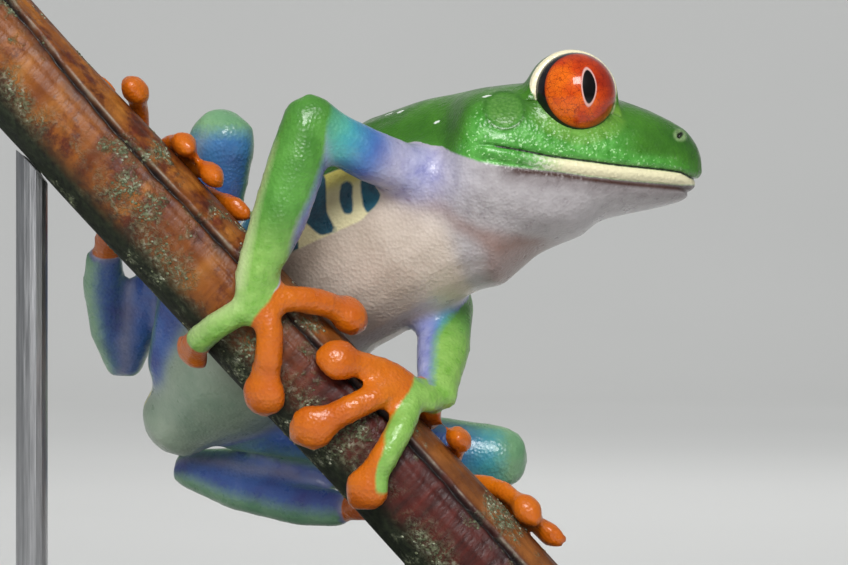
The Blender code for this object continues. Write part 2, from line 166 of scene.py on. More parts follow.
STEM_POINT = place_mm(-20.7, 0.0, 1.4)
STEM_SLOPE = math.radians(47.0)
STEM_ALONG = Vector((math.cos(STEM_SLOPE), 0.0, -math.sin(STEM_SLOPE)))
STEM_EDGE = Vector((math.sin(STEM_SLOPE), 0.0, math.cos(STEM_SLOPE)))
STEM_NEAR = Vector((0.0, -1.0, 0.0))
STEM_RADIUS = 0.0052
STEM_ENDS = (-0.036, 0.0485)
GROOVE_PATH = (  # the way along the stem in metres, and the groove's turn in degrees from the upper edge
    (-0.036, 39.0), (-0.029, 44.0), (-0.020, 53.0), (-0.012, 56.0),
    (0.004, 56.0), (0.026, 53.0), (0.0485, 60.0),
)
GROOVE_DEPTH = 0.00050
SPLIT_DEPTH = 0.00014
RIDGES = ((0.00004, 9, 110.0, 0.3), (0.00003, 17, 190.0, 1.9), (0.00002, 31, 320.0, 4.0))
STEM_RINGS, STEM_SIDES = 240, 120
GROOVE_CROWDING = 0.72  # how far the sides of the mesh are drawn together at the groove
CRUST_GRAIN = (150.0, 5.0, 0.65)  # cycles to the metre, detail and coarseness of the patches of crust


def step_between(values, low, high):
    """A smooth rise from 0 at low to 1 at high."""
    share = np.clip((values - low) / (high - low), 0.0, 1.0)
    return share * share * (3.0 - 2.0 * share)


def bell(values, width):
    """1 at 0, falling away to either side."""
    return np.exp(-((values / width) ** 2))


def on_path(path, at):
    """The second number of a path's pairs, read at each of these values of the first."""
    return np.interp(at, *zip(*path))


def stem_axes(points):
    """For points: the way along the stem, the turn from its upper edge to the near side, the height."""
    away = points - np.array(STEM_POINT)
    up = away @ np.array(STEM_EDGE)
    near = away @ np.array(STEM_NEAR)
    return away @ np.array(STEM_ALONG), np.arctan2(near, up), np.hypot(up, near)


def groove_turn(along):
    """The turn in radians at which the deep groove runs, at each way along the stem."""
    return np.radians(on_path(GROOVE_PATH, along))


def bark_height(along, off, turn):
    """The bark's distance from the stem's middle, off being the turn from the groove."""
    wander = 0.014 * np.sin(along * 900.0) + 0.010 * np.sin(along * 2300.0 + 1.0)
    height = STEM_RADIUS - GROOVE_DEPTH * bell(off + wander, 0.052)
    height += 0.00005 * bell(off + 0.13, 0.06)
    height += 0.00003 * bell(off - 0.14, 0.07)
    split_here = np.clip(np.sin(along * 140.0 + 0.6), 0.0, 1.0)
    height -= SPLIT_DEPTH * bell(off - 0.34 - 1.5 * wander, 0.022) * split_here
    for rise, waves, drift, phase in RIDGES:
        height += rise * np.cos(waves * turn + phase + 0.8 * np.sin(along * drift + phase * 2.0))
    height += 0.00008 * np.sin(along * 210.0 + 2.0 * np.sin(turn)) * np.sin(2.0 * turn + along * 60.0)
    return np.minimum(height, STEM_RADIUS + 0.00015)


def stem_surface(rings, sides):
    """Points and faces of the stem: rings along it, closest by the groove, and a sawn face at each end."""
    share = np.linspace(-math.pi, math.pi, sides, endpoint=False)
    ways = np.linspace(*STEM_ENDS, rings)
    along, off = np.meshgrid(ways, share - GROOVE_CROWDING * np.sin(share), indexing="ij")
    turn = groove_turn(along) + off
    height = bark_height(along, off, turn)
    points = (
        np.array(STEM_POINT)
        + along[..., None] * np.array(STEM_ALONG)
        + (height * np.cos(turn))[..., None] * np.array(STEM_EDGE)
        + (height * np.sin(turn))[..., None] * np.array(STEM_NEAR)
    ).reshape(-1, 3)
    turns = [(side, (side + 1) % sides) for side in range(sides)]
    faces = [
        (row + one, row + two, row + sides + two, row + sides + one)
        for row in range(0, (rings - 1) * sides, sides)
        for one, two in turns
    ]
    for row, end in ((0, STEM_ENDS[0]), ((rings - 1) * sides, STEM_ENDS[1])):
        for one, two in turns:
            pair = (two, one) if row == 0 else (one, two)
            faces.append((row + pair[0], row + pair[1], len(points)))
        points = np.vstack([points, np.array(STEM_POINT) + end * np.array(STEM_ALONG)])
    return points, faces


def linked_object(name, mesh):
    """A mesh put in the scene as a piece."""
    made = bpy.data.objects.new(name, mesh)
    bpy.context.scene.collection.objects.link(made)
    return made


def mesh_object(name, points, faces, finish):
    """A smooth-shaded piece from points in metres."""
    mesh = bpy.data.meshes.new(name)
    mesh.from_pydata([tuple(point) for point in points], [], [tuple(face) for face in faces])
    mesh.update()
    mesh.shade_smooth()
    mesh.materials.append(finish)
    return linked_object(name, mesh)


def both(tree, first, second):
    """Two masks multiplied together."""
    return mix(tree, 1.0, first, second, "MULTIPLY")


def painted(tree, ground, *coats):
    """A ground colour with coats laid over it in order, each (share, paint)."""
    for share, paint in coats:
        ground = mix(tree, share, ground, paint)
    return ground


def stem_marks(points):
    """Where bark colours and painted shade lie, as masks from 0 to 1, by the distance round from the groove
    in mm.
    """
    along, turn, height = stem_axes(points)
    off = (turn - groove_turn(along) + math.pi) % (2.0 * math.pi) - math.pi
    off = off * STEM_RADIUS * 1000.0
    return {
        # painted shade: the groove's floor is painted near black
        "groove": bell(off, 0.30),
        # painted shade beside the groove, broken up by the streaks
        "groove_shade": bell(off - 0.35, 0.95),
        "pale_line": bell(off + 0.42, 0.10),
        "above": step_between(-off, 0.3, 0.9),
        "crest": step_between(-off, 2.4, 5.4),
        # the underside: mossy, and kept near black as painted shade
        "under": np.where(off > 0.0, step_between(off, 4.4, 7.4), step_between(-off, 8.0, 12.5)),
        "crust_line": bell(off - 5.2, 1.5),
        "lower_run": step_between(along, 0.004, 0.017),
        "sawn": step_between(STEM_RADIUS * 0.9 - height, 0.0, 0.0004),
    }


def add_masks(obj, masks):
    """Numbers for each point of a piece, which its material reads by name."""
    for name, values in masks.items():
        made = obj.data.attributes.new(name, "FLOAT", "POINT")
        made.data.foreach_set("value", np.asarray(values, np.float32))


def read_masks(tree, names):
    """The sockets of numbers stored on a piece's points."""
    readers = {name: add(tree, "ShaderNodeAttribute", {}, attribute_name=name) for name in names}
    return {name: reader.outputs["Fac"] for name, reader in readers.items()}


def stem_bark(names):
    """The bark's finish: tan, darker lower down, painted shade in and beside the groove, mossy beneath and
    darkened there by painted shade, with pale crusts.
    """
    made, tree, shader, place = new_material("stem_bark")
    mark = read_masks(tree, names)
    turned = add(tree, "ShaderNodeMapping", {"Vector": place, "Rotation": (0.0, STEM_SLOPE, 0.0)}).outputs[0]
    drawn_out = add(tree, "ShaderNodeMapping", {"Vector": turned, "Scale": (0.10, 1.0, 1.0)}).outputs[0]
    fibres = grain(tree, drawn_out, 1000, detail=6.0, coarseness=0.6)
    streaks = grain(tree, drawn_out, 360, detail=4.0)
    patches = grain(tree, place, *CRUST_GRAIN)
    blotches = grain(tree, turned, 310, detail=5.0, coarseness=0.7)
    fine = grain(tree, place, 1700, detail=4.0)
    speckle = grain(tree, place, 2900, detail=3.0, coarseness=0.7)

    tans = ((0.3, (0.13, 0.030, 0.004)), (0.5, (0.27, 0.080, 0.009)), (0.7, (0.40, 0.145, 0.020)))
    greys = ((0.35, (0.06, 0.075, 0.035)), (0.55, (0.17, 0.19, 0.11)), (0.7, (0.36, 0.37, 0.27)))
    maroon = ramp(tree, fibres, (0.3, (0.022, 0.003, 0.002)), (0.7, (0.105, 0.012, 0.006)))
    band = ramp(tree, streaks, (0.3, (0.10, 0.028, 0.006)), (0.7, (0.30, 0.10, 0.018)))
    moss_and_painted_shade = ramp(tree, fine, (0.3, (0.004, 0.006, 0.003)), (0.7, (0.022, 0.030, 0.013)))
    wood = ramp(tree, fine, (0.3, (0.42, 0.27, 0.13)), (0.7, (0.60, 0.43, 0.24)))
    tan = painted(
        tree,
        ramp(tree, streaks, *tans),
        (ramp(tree, fibres, (0.35, 0.45), (0.6, 0.0)), (0.09, 0.018, 0.004)),
        (ramp(tree, blotches, (0.50, 0.0), (0.62, 0.85)), maroon),
    )
    broken = ramp(tree, streaks, (0.45, 0.05), (0.58, 0.75))
    edge_crusts = both(tree, mark["crust_line"], ramp(tree, patches, (0.44, 0.0), (0.56, 0.8)))
    crusts = mix(tree, 1.0, ramp(tree, patches, (0.54, 0.0), (0.62, 1.0)), edge_crusts, "LIGHTEN")
    crusts = both(tree, crusts, ramp(tree, speckle, (0.44, 0.15), (0.54, 1.0)))
    colour = painted(
        tree,
        mix(tree, mark["lower_run"], tan, maroon),
        (mark["above"], mix(tree, mark["lower_run"], tan, band)),
        (both(tree, mark["crest"], (0.7, 0.7, 0.7)), (0.045, 0.010, 0.006)),
        # painted shade beside the groove
        (both(tree, mark["groove_shade"], ramp(tree, streaks, (0.4, 0.25), (0.6, 0.9))), (0.028, 0.010, 0.010)),
        # moss with painted shade on the underside
        (mark["under"], moss_and_painted_shade),
        (crusts, ramp(tree, fine, *greys)),
        (both(tree, mark["pale_line"], broken), (0.32, 0.27, 0.20)),
        # painted shade: near black in the groove
        (mark["groove"], (0.006, 0.004, 0.004)),
        (mark["sawn"], wood),
    )
    dullness = painted(
        tree,
        ramp(tree, fibres, (0.3, 0.36), (0.7, 0.52)),
        (mark["under"], (0.8, 0.8, 0.8)),
        (crusts, (0.85, 0.85, 0.85)),
    )
    feed(tree, shader, {"Base Color": colour, "Roughness": dullness, "Specular IOR Level": 0.4})
    bump(tree, shader, fibres, 0.00022, 0.6)
    bump(tree, shader, fine, 0.0001, 0.5)
    bump(tree, shader, crusts, 0.00025, 0.7)
    return made


stem_points, stem_faces = stem_surface(STEM_RINGS, STEM_SIDES)
stem_masks = stem_marks(stem_points)
stem = mesh_object("perch_stem_bark", stem_points, stem_faces, stem_bark(stem_masks))
add_masks(stem, stem_masks)
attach(stem, "root")
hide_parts("perch_stem")


# Lichen: pale crusts grown on the bark in patches. Each patch is a close scatter of low grains,
# thickest where the bark's own stain of crust is strongest, grown on to the surface.
LICHEN_SEED = 7
GRAINS_PER_SQUARE_METRE = 5.0e6
LARGEST_GRAIN = 0.00022
LOWEST, HIGHEST, NUMBER = 2, 3, 1  # the Random Value node's sockets for plain numbers


def lichen_tree():
    """Geometry nodes that scatter flattened grains over a bark where its cloudy grain is high."""
    made = bpy.data.node_groups.new("lichen_scatter", "GeometryNodeTree")
    for name, direction, kind in (
        ("Bark", "INPUT", "Geometry"),
        ("Grains per square metre", "INPUT", "Float"),
        ("Largest radius", "INPUT", "Float"),
        ("Finish", "INPUT", "Material"),
        ("Lichen", "OUTPUT", "Geometry"),
    ):
        made.interface.new_socket(name, in_out=direction, socket_type="NodeSocket" + kind)
    bark, crowd, radius, finish = add(made, "NodeGroupInput", {}).outputs[:4]
    cycles, detail, coarseness = CRUST_GRAIN
    noise = add(made, "ShaderNodeTexNoise", {"Scale": cycles, "Detail": detail, "Roughness": coarseness})
    cut = {"Value": noise.outputs["Fac"], "From Min": 0.55, "From Max": 0.64}
    patch = add(made, "ShaderNodeMapRange", cut)
    density = add(made, "ShaderNodeMath", {0: patch.outputs["Result"], 1: crowd}, operation="MULTIPLY")
    bed = {"Mesh": bark, "Density": density.outputs[0], "Seed": LICHEN_SEED}
    scatter = add(made, "GeometryNodeDistributePointsOnFaces", bed)
    ball = add(made, "GeometryNodeMeshIcoSphere", {"Radius": radius})
    flattened = {"Geometry": ball.outputs["Mesh"], "Scale": (1.0, 0.8, 0.45)}
    size = add(made, "FunctionNodeRandomValue", {LOWEST: 0.35, HIGHEST: 1.0, "Seed": LICHEN_SEED})
    placed = {
        "Points": scatter.outputs["Points"],
        "Rotation": scatter.outputs["Rotation"],
        "Instance": add(made, "GeometryNodeTransform", flattened).outputs["Geometry"],
        "Scale": size.outputs[NUMBER],
    }
    grains = add(made, "GeometryNodeInstanceOnPoints", placed).outputs["Instances"]
    for finishing in ("RealizeInstances", "SetShadeSmooth", "SetMaterial"):
        last = add(made, "GeometryNode" + finishing, {"Geometry": grains})
        grains = last.outputs["Geometry"]
    made.links.new(finish, last.inputs["Material"])
    add(made, "NodeGroupOutput", {"Lichen": grains})
    return made


crust_paint, tree, shader, place = new_material("lichen_crust")
fine = grain(tree, place, 1700, detail=4.0)
tone = ramp(tree, fine, (0.35, (0.07, 0.085, 0.04)), (0.5, (0.17, 0.19, 0.11)), (0.65, (0.38, 0.39, 0.29)))
feed(tree, shader, {"Base Color": tone, "Roughness": 0.9})
bump(tree, shader, grain(tree, place, 6000), 0.00004)


def evaluated_mesh(obj, name):
    """The mesh that a helper object's modifiers make; the helper is removed."""
    bpy.context.view_layer.update()
    made = bpy.data.meshes.new_from_object(obj.evaluated_get(bpy.context.evaluated_depsgraph_get()))
    bpy.data.objects.remove(obj)
    made.name = name
    return made


bed = linked_object("lichen_bed", stem.data.copy())
growth = bed.modifiers.new("lichen", "NODES")
growth.node_group = lichen_tree()
sockets = {item.name: item.identifier for item in growth.node_group.interface.items_tree}
growth[sockets["Grains per square metre"]] = GRAINS_PER_SQUARE_METRE
growth[sockets["Largest radius"]] = LARGEST_GRAIN
growth[sockets["Finish"]] = crust_paint
lichen_mesh = evaluated_mesh(bed, "lichen_crusts")
lichen_mesh.materials.clear()
lichen_mesh.materials.append(crust_paint)
lichen_mesh.polygons.foreach_set("material_index", np.zeros(len(lichen_mesh.polygons), np.int32))
lichen = linked_object("lichen_crusts", lichen_mesh)
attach(lichen, "root")


# Skin: one closed moulding over the whole frog, cast with its folds, lids, lips and discs, and
# painted. It starts from the solid parts, closed over their joints, then the fine forms are
# raised and sunk on a mesh that is made finer round the face.
FLESH = sorted(name for name in nodes if not name.startswith(("eye_", "perch_", "stand_")))
CLOSING = 0.00024  # how far each part is let out to meet its neighbours
KEPT_CLOSING = 0.0001  # how much of that the finished skin keeps
SKIN_PITCH = 0.00050
SAME_POINT = 1e-6
NEARLY_NOTHING = 1e-9
EYE_RADIUS = 0.0039
LID_RADIUS = 0.00408
LID_OPENING = math.radians(82.0)
LID_REACH = 0.0052  # from the eye's middle, as far as the lid's own form goes
SOCKET_SHARE = 0.86  # the socket's floor inside the ball, as a share of its radius
EYES = {  # each eye's middle, and the way its opening faces
    "right": (place_mm(14.1, -1.6, 17.7), Vector((0.21, -0.97, 0.10)).normalized()),
    "left": (place_mm(14.1, 10.2, 17.7), Vector((0.21, 0.97, 0.10)).normalized()),
}
DISCS = {  # each digit's disc: its way down the stem in mm, turn in degrees, height, radius, half thickness
    "hand_right": (
        (5.1, 163.0, 0.95, 1.95, 1.35),
        (12.6, 124.0, 1.15, 2.3, 1.6),
        (12.5, 12.0, 1.55, 2.25, 1.8),
        (2.0, 21.0, 0.95, 1.8, 1.2),
    ),
    "hand_left": (
        (25.5, 114.0, 1.05, 2.25, 1.5),
        (17.9, 112.0, 1.15, 2.3, 1.6),
        (15.0, 58.0, 1.15, 2.15, 1.65),
        (24.2, -15.0, 0.95, 1.8, 1.2),
    ),
    "foot_right": (
        (-16.8, -8.0, 1.15, 1.75, 1.35),
        (-9.8, -2.0, 1.0, 1.55, 1.3),
        (-6.0, 0.0, 1.0, 1.45, 1.25),
        (-2.4, -26.0, 0.95, 1.3, 1.15),
    ),
    "foot_left": (
        (28.2, -1.0, 1.0, 1.45, 1.3),
        (37.4, 4.0, 1.2, 1.85, 1.45),
        (40.6, -14.0, 1.3, 1.5, 1.2),
    ),
}
DISC_LIFT = 0.3


def at_stem(along, turn, height):
    """A place by its way down the stem in mm, its turn in degrees and its height, and the way outward."""
    angle = math.radians(turn)
    outward = STEM_EDGE * math.cos(angle) + STEM_NEAR * math.sin(angle)
    return STEM_POINT + STEM_ALONG * (along * 0.001) + outward * (STEM_RADIUS + height * 0.001), outward


def let_out(mesh, distance):
    """A merged copy of a part's mesh with each point moved outwards."""
    piece = bmesh.new()
    piece.from_mesh(mesh)
    bmesh.ops.remove_doubles(piece, verts=piece.verts, dist=SAME_POINT)
    bmesh.ops.recalc_face_normals(piece, faces=piece.faces)
    piece.normal_update()
    moves = [vert.normal * distance for vert in piece.verts]
    for vert, move in zip(piece.verts, moves):
        vert.co += move
    made = bpy.data.meshes.new("part")
    piece.to_mesh(made)
    piece.free()
    return made


def flesh_solid():
    """The flesh parts, let out to meet, with the domes of the lids and the digits' round discs."""
    whole = bmesh.new()
    for name in FLESH:
        part = let_out(nodes[name].data, CLOSING)
        whole.from_mesh(part)
        bpy.data.meshes.remove(part)
    for discs in DISCS.values():
        for along, turn, height, radius, half in discs:
            place, outward = at_stem(along, turn, height + DISC_LIFT)
            stand = Matrix.Translation(place) @ outward.to_track_quat("Z", "Y").to_matrix().to_4x4()
            shape = stand @ Matrix.Diagonal((radius, radius, half, 1.0))
            bmesh.ops.create_icosphere(whole, subdivisions=3, radius=0.001, matrix=shape)
    for centre, _ in EYES.values():
        place = Matrix.Translation(centre)
        bmesh.ops.create_icosphere(whole, subdivisions=4, radius=LID_RADIUS, matrix=place)
    mesh = bpy.data.meshes.new("flesh")
    whole.to_mesh(mesh)
    whole.free()
    return mesh


def points_of(mesh, layer="co"):
    """The mesh's points in metres."""
    flat = np.empty(len(mesh.vertices) * 3, np.float32)
    mesh.vertices.foreach_get(layer, flat)
    return flat.reshape(-1, 3).astype(np.float64)


def normals_of(mesh):
    """The outward direction at each point."""
    return points_of(mesh, "normal")


def set_points(mesh, points):
    """Puts moved points back into the mesh."""
    mesh.vertices.foreach_set("co", points.astype(np.float32).ravel())
    mesh.update()


def edges_of(mesh):
    """The two points of each edge."""
    flat = np.empty(len(mesh.edges) * 2, np.int32)
    mesh.edges.foreach_get("vertices", flat)
    return flat.reshape(-1, 2)


def neighbour_mean(values, edges):
    """For each point, the mean of its neighbours' values, column by column."""
    count = len(values)
    one, two = edges.T
    sums = [np.bincount(one, row[two], count) + np.bincount(two, row[one], count) for row in values.T]
    return np.stack(sums, axis=1) / np.bincount(edges.ravel(), minlength=count)[:, None]


SINK, RAISE_BACK = 0.5, 0.53


def smoothed(values, edges, rounds, share=1.0, shrinking=True):
    """Values evened out over neighbouring points, by each point's share, with or without shrinking."""
    share = np.asarray(share).reshape(-1, 1) * np.ones((len(values), 1))
    for _ in range(rounds):
        values = values + share * SINK * (neighbour_mean(values, edges) - values)
        if not shrinking:
            values = values - share * RAISE_BACK * (neighbour_mean(values, edges) - values)
    return values


def part_shares(points, edges, rounds):
    """For each flesh part, how much of it each point is, from 0 to 1, shaded over the joints."""
    corners, faces, owner = [], [], []
    for number, name in enumerate(FLESH):
        mesh = nodes[name].data
        start = len(corners)
        corners += [vert.co.copy() for vert in mesh.vertices]
        faces += [[start + corner for corner in face.vertices] for face in mesh.polygons]
        owner += [number] * len(mesh.polygons)
    solid = BVHTree.FromPolygons(corners, faces)
    nearest = np.array([owner[solid.find_nearest(Vector(point))[2]] for point in points])
    shares = smoothed(np.eye(len(FLESH))[nearest], edges, rounds)
    return dict(zip(FLESH, shares.T))


HEAD_MIDDLE = 4.3
MOUTH_PATH = (  # the way towards the snout and the height of the mouth's line, in mm
    (0.0, 13.2), (6.1, 12.75), (8.9, 12.3), (11.7, 11.76), (14.5, 11.42),
    (18.3, 10.97), (22.2, 10.65), (24.2, 10.42), (25.3, 9.95), (26.2, 9.7),
)
LIP_FORMS = (  # from above the mouth's line to below it: the way down, the height and half the width, in mm
    (-0.55, 0.12, 0.4),
    (0.0, -0.32, 0.16),
    (0.65, 0.20, 0.38),
    (1.45, -0.22, 0.22),
)
NOSTRIL = (24.25, 1.1, 13.95)
SLIT_WAY = (0.72, 0.69)
EAR = (7.5, -5.2, 16.1)
EAR_RADIUS = 1.8
NAPE = (2.6, 13.4)
THROAT_FOLD = ((2.2, 7.4), (14.5, 3.7))


def both_sides(place):
    """A form's place on the right of the head, and its mirror on the left, in mm."""
    aside = HEAD_MIDDLE - place[1]
    return [np.array((place[0], HEAD_MIDDLE + side * aside, place[2])) for side in (-1.0, 1.0)]


def from_slit(x, z):
    """The distance from the nostril's slit seen from the side, drawn in along its slant."""
    ahead, above = x - NOSTRIL[0], z - NOSTRIL[2]
    across = ahead * SLIT_WAY[1] - above * SLIT_WAY[0]
    return np.hypot(ahead * SLIT_WAY[0] + above * SLIT_WAY[1], across * 2.0)


def from_eye(points, centre, axis):
    """For points: the vector and the distance from an eye's centre, and the angle from its axis."""
    away = points - np.array(centre)
    far = np.linalg.norm(away, axis=1)
    return away, far, np.arccos(np.clip(away @ np.array(axis) / np.maximum(far, NEARLY_NOTHING), -1, 1))


def near_joints(points, edges):
    """How near points are to where two parts meet, from 0 to 1; the hands and feet keep their shape."""
    shares = part_shares(points, edges, 14)
    digits = sum(share for name, share in shares.items() if name.startswith(("hand_", "foot_")))
    most = np.max(list(shares.values()), axis=0)
    return np.clip(2.4 * (1.0 - most), 0.0, 1.0) * (1.0 - 0.8 * digits)


def near_neck(points):
    """How near points are to where the head and jaw join the trunk, from 0 to 1."""
    x, _, z = in_mm(points).T
    under = bell(z - on_path(THROAT_FOLD, x), 1.6)
    under = under * step_between(x, 0.0, 2.0) * step_between(15.5 - x, 0.0, 2.0)
    behind = bell(x - NAPE[0] - 0.066 * (z - NAPE[1]), 3.0) * step_between(z, 5.0, 8.0)
    return np.maximum(under, behind)


def near_lid_base(points):
    """How near points are to where the lids' domes rise from the head, from 0 to 1."""
    near = np.zeros(len(points))
    for centre, axis in EYES.values():
        _, far, angle = from_eye(points, centre, axis)
        behind = step_between(angle, LID_OPENING, LID_OPENING + 0.3)
        near = np.maximum(near, bell(far - LID_RADIUS - 0.0002, 0.0006) * behind)
    return near


solid = linked_object("flesh", flesh_solid())
wrap = solid.modifiers.new("wrap", "REMESH")
wrap.mode = "VOXEL"
wrap.voxel_size = SKIN_PITCH
skin_mesh = evaluated_mesh(solid, "frog_skin")
skin_edges = edges_of(skin_mesh)
points = smoothed(points_of(skin_mesh), skin_edges, 30, shrinking=False)
points = smoothed(points, skin_edges, 18, near_joints(points, skin_edges))
points = smoothed(points, skin_edges, 70, near_neck(points))
points = smoothed(points, skin_edges, 10, near_lid_base(points))
set_points(skin_mesh, points)
set_points(skin_mesh, points - normals_of(skin_mesh) * (CLOSING - KEPT_CLOSING))


def near_face(points):
    """Marks for the points of the face and the near hand, where the forms are small."""
    x, y, z = in_mm(points).T
    marks = (x > 2.0) & (np.abs(z - on_path(MOUTH_PATH, x)) < 2.2)
    marks |= (x > 22.0) & (z > 8.0)
    for centre, axis in EYES.values():
        marks |= from_eye(points, centre, axis)[1] < 0.0054
    for ear in both_sides(EAR):
        marks |= np.hypot(x - ear[0], z - ear[2]) + 0.4 * np.abs(y - ear[1]) < 2.6
    along, _, height = stem_axes(points)
    return marks | (height < 0.0088) & (along > 0.0) & (along < 0.028) & (y < 2.0)


def near_lips_and_lids(points):
    """Marks for the points by the mouth's edges, the nostrils and round the edge of each eye opening."""
    x, _, z = in_mm(points).T
    below = on_path(MOUTH_PATH, x) - z
    marks = (x > 5.0) & (below < 1.9) & (below > -0.35)
    marks |= np.hypot(x - NOSTRIL[0], z - NOSTRIL[2]) < 1.3
    for centre, axis in EYES.values():
        _, far, angle = from_eye(points, centre, axis)
        marks |= (far < 0.0053) & (angle > LID_OPENING - 0.09) & (angle < LID_OPENING + 0.32)
    return marks


def refine(mesh, near):
    """Each face with all its points marked is cut in four."""
    fine = bmesh.new()
    fine.from_mesh(mesh)
    fine.verts.ensure_lookup_table()
    cut = [edge for edge in fine.edges if near[edge.verts[0].index] and near[edge.verts[1].index]]
    bmesh.ops.subdivide_edges(fine, edges=cut, cuts=1, use_grid_fill=True)
    fine.to_mesh(mesh)
    fine.free()


def face_lift(x, y, z):
    """How far in mm the mouth, lips, nostrils and ear discs stand out of the smooth head."""
    below = on_path(MOUTH_PATH, x) - z
    on_head = step_between(x, 4.0, 7.0)
    lift = on_head * sum(height * bell(below - way, half) for way, height, half in LIP_FORMS)
    for nostril in both_sides(NOSTRIL):
        far = np.sqrt((x - nostril[0]) ** 2 + (y - nostril[1]) ** 2 + (z - nostril[2]) ** 2)
        lift += 0.16 * bell(far - 0.62, 0.26)
        lift -= 0.45 * bell(from_slit(x, z), 0.34) * (far < 1.6)
    for ear in both_sides(EAR):
        far = np.hypot(x - ear[0], z - ear[2])
        beside = np.abs(y - ear[1]) < 4.0
        lift -= beside * 0.10 * step_between(-far, -EAR_RADIUS, -EAR_RADIUS + 0.35)
        lift += beside * 0.09 * bell(far - EAR_RADIUS, 0.22)
    return lift


def opened_lids(points):
    """The lids' domes sunk behind the eye inside their openings, with a thin ring raised round each."""
    for centre, axis in EYES.values():
        away, far, angle = from_eye(points, centre, axis)
        close = far < LID_REACH
        inside = close & (angle < LID_OPENING + 0.02)
        ring = 0.00010 * bell(angle - LID_OPENING - 0.10, 0.09) * close
        depth = step_between(LID_OPENING - angle, -0.02, 0.04)
        sunk = LID_RADIUS + (EYE_RADIUS * SOCKET_SHARE - LID_RADIUS) * depth
        wanted = np.where(inside, np.minimum(far, sunk), far + ring)
        points = np.array(centre) + away * (wanted / np.maximum(far, NEARLY_NOTHING))[:, None]
    return points


for marked in (near_face, near_lips_and_lids):
    refine(skin_mesh, marked(points_of(skin_mesh)))
    points = points_of(skin_mesh)
    share = marked(points).astype(float)
    set_points(skin_mesh, smoothed(points, edges_of(skin_mesh), 4, share, shrinking=False))
points = points_of(skin_mesh)
lift = face_lift(*in_mm(points).T)
set_points(skin_mesh, opened_lids(points + normals_of(skin_mesh) * (lift * 0.001)[:, None]))
skin_mesh.shade_smooth()
skin_mesh.materials.clear()
skin = linked_object("frog_skin", skin_mesh)


# The skin's pattern is kept as masks on its own points. The head, the back and the outer edges of
# the limbs are green, the limbs' hidden faces blue, the flanks barred and the digits orange.
TRUNK_LINE = (
    (11.7, 4.4, 8.6), (7.9, 4.9, 9.0), (3.5, 5.8, 8.8), (-1.3, 7.5, 6.9), (-5.8, 10.2, 3.9),
    (-10.2, 13.0, 0.7), (-16.0, 16.0, -5.2), (-20.8, 18.5, -10.2), (-24.0, 20.2, -13.2),
)
TRUNK_RIGHT = np.array((-0.59, -0.78, 0.21))
TRUNK_DORSAL = np.array((-0.41, 0.51, 0.75))
SHOULDERS = {"right": (1.0, -0.5, 9.6), "left": (-4.0, 16.0, 10.0)}
ELBOWS = {"right": (-10.7, -6.0, 15.3), "left": (2.0, 14.8, 0.6)}
WRISTS = {"right": (-16.0, -6.9, -0.9), "left": (1.2, -1.6, -11.2)}
KNEES = {"right": (-19.5, 8.5, 13.8), "left": (7.4, 19.0, -17.5)}
OUTER_FINGERS = {  # the way down the stem in mm and the turn in degrees of each bend of the finger
    "right": ((5.2, 96.0), (4.9, 112.0), (4.7, 128.0), (4.8, 141.0)),
    "left": ((22.6, 20.0), (23.7, 44.0), (24.6, 66.0), (25.9, 88.0), (26.9, 106.0)),
}
FINGER_HEIGHT = 1.6
FINGER_HALF_WIDTHS = {"right": (1.2, 1.7, 2.05), "left": (1.15, 1.75, 2.05)}


def along_path(mm, path):
    """For each point: its distance from a path, how far along that is, and the vector from it, in mm."""
    best = np.full(len(mm), math.inf)
    reach = np.zeros(len(mm))
    away = np.zeros((len(mm), 3))
    walked = 0.0
    for start, end in zip(np.array(path), np.array(path[1:])):
        length = np.linalg.norm(end - start)
        share = np.clip((mm - start) @ (end - start) / length**2, 0.0, 1.0)
        offset = mm - (start + share[:, None] * (end - start))
        far = np.linalg.norm(offset, axis=1)
        nearer = far < best
        best = np.where(nearer, far, best)
        reach = np.where(nearer, walked + share * length, reach)
        away = np.where(nearer[:, None], offset, away)
        walked += length
    return best, reach, away


def edge_mask(inside, half_width=1.0):
    """A distance inside an edge as 0 to 1, with the edge itself at 0.5."""
    return np.clip(0.5 + inside / (2.0 * half_width), 0.0, 1.0)


def only_on(part, inside):
    """A distance inside an edge, kept on one part and well outside the edge elsewhere."""
    return np.where(part > 0.5, inside, -1.0)


def upper_arm_marks(mm, normals, share, side):
    """Blue with a lilac shoulder on the right, a green elbow, and on the left a green shoulder."""
    upper = share["upper_arm_" + side]
    _, reach, _ = along_path(mm, (SHOULDERS[side], ELBOWS[side]))
    outwards = reach / math.dist(SHOULDERS[side], ELBOWS[side])
    green = (outwards - 0.92) * 6.0
    if side == "left":
        green = np.maximum(green, np.minimum(normals[:, 2] + 0.1, 0.34 - outwards) * 3.0)
    return {
        "green": only_on(upper, green),
        "blue": upper * (step_between(outwards, 0.26, 0.56) if side == "right" else 1.0),
        "cyan": upper * bell(outwards - 0.80, 0.16),
        "lilac": upper * bell(outwards - 0.22, 0.20) * (0.75 if side == "right" else 0.0),
        "elbow": upper * step_between(outwards, 0.72, 0.96),
    }


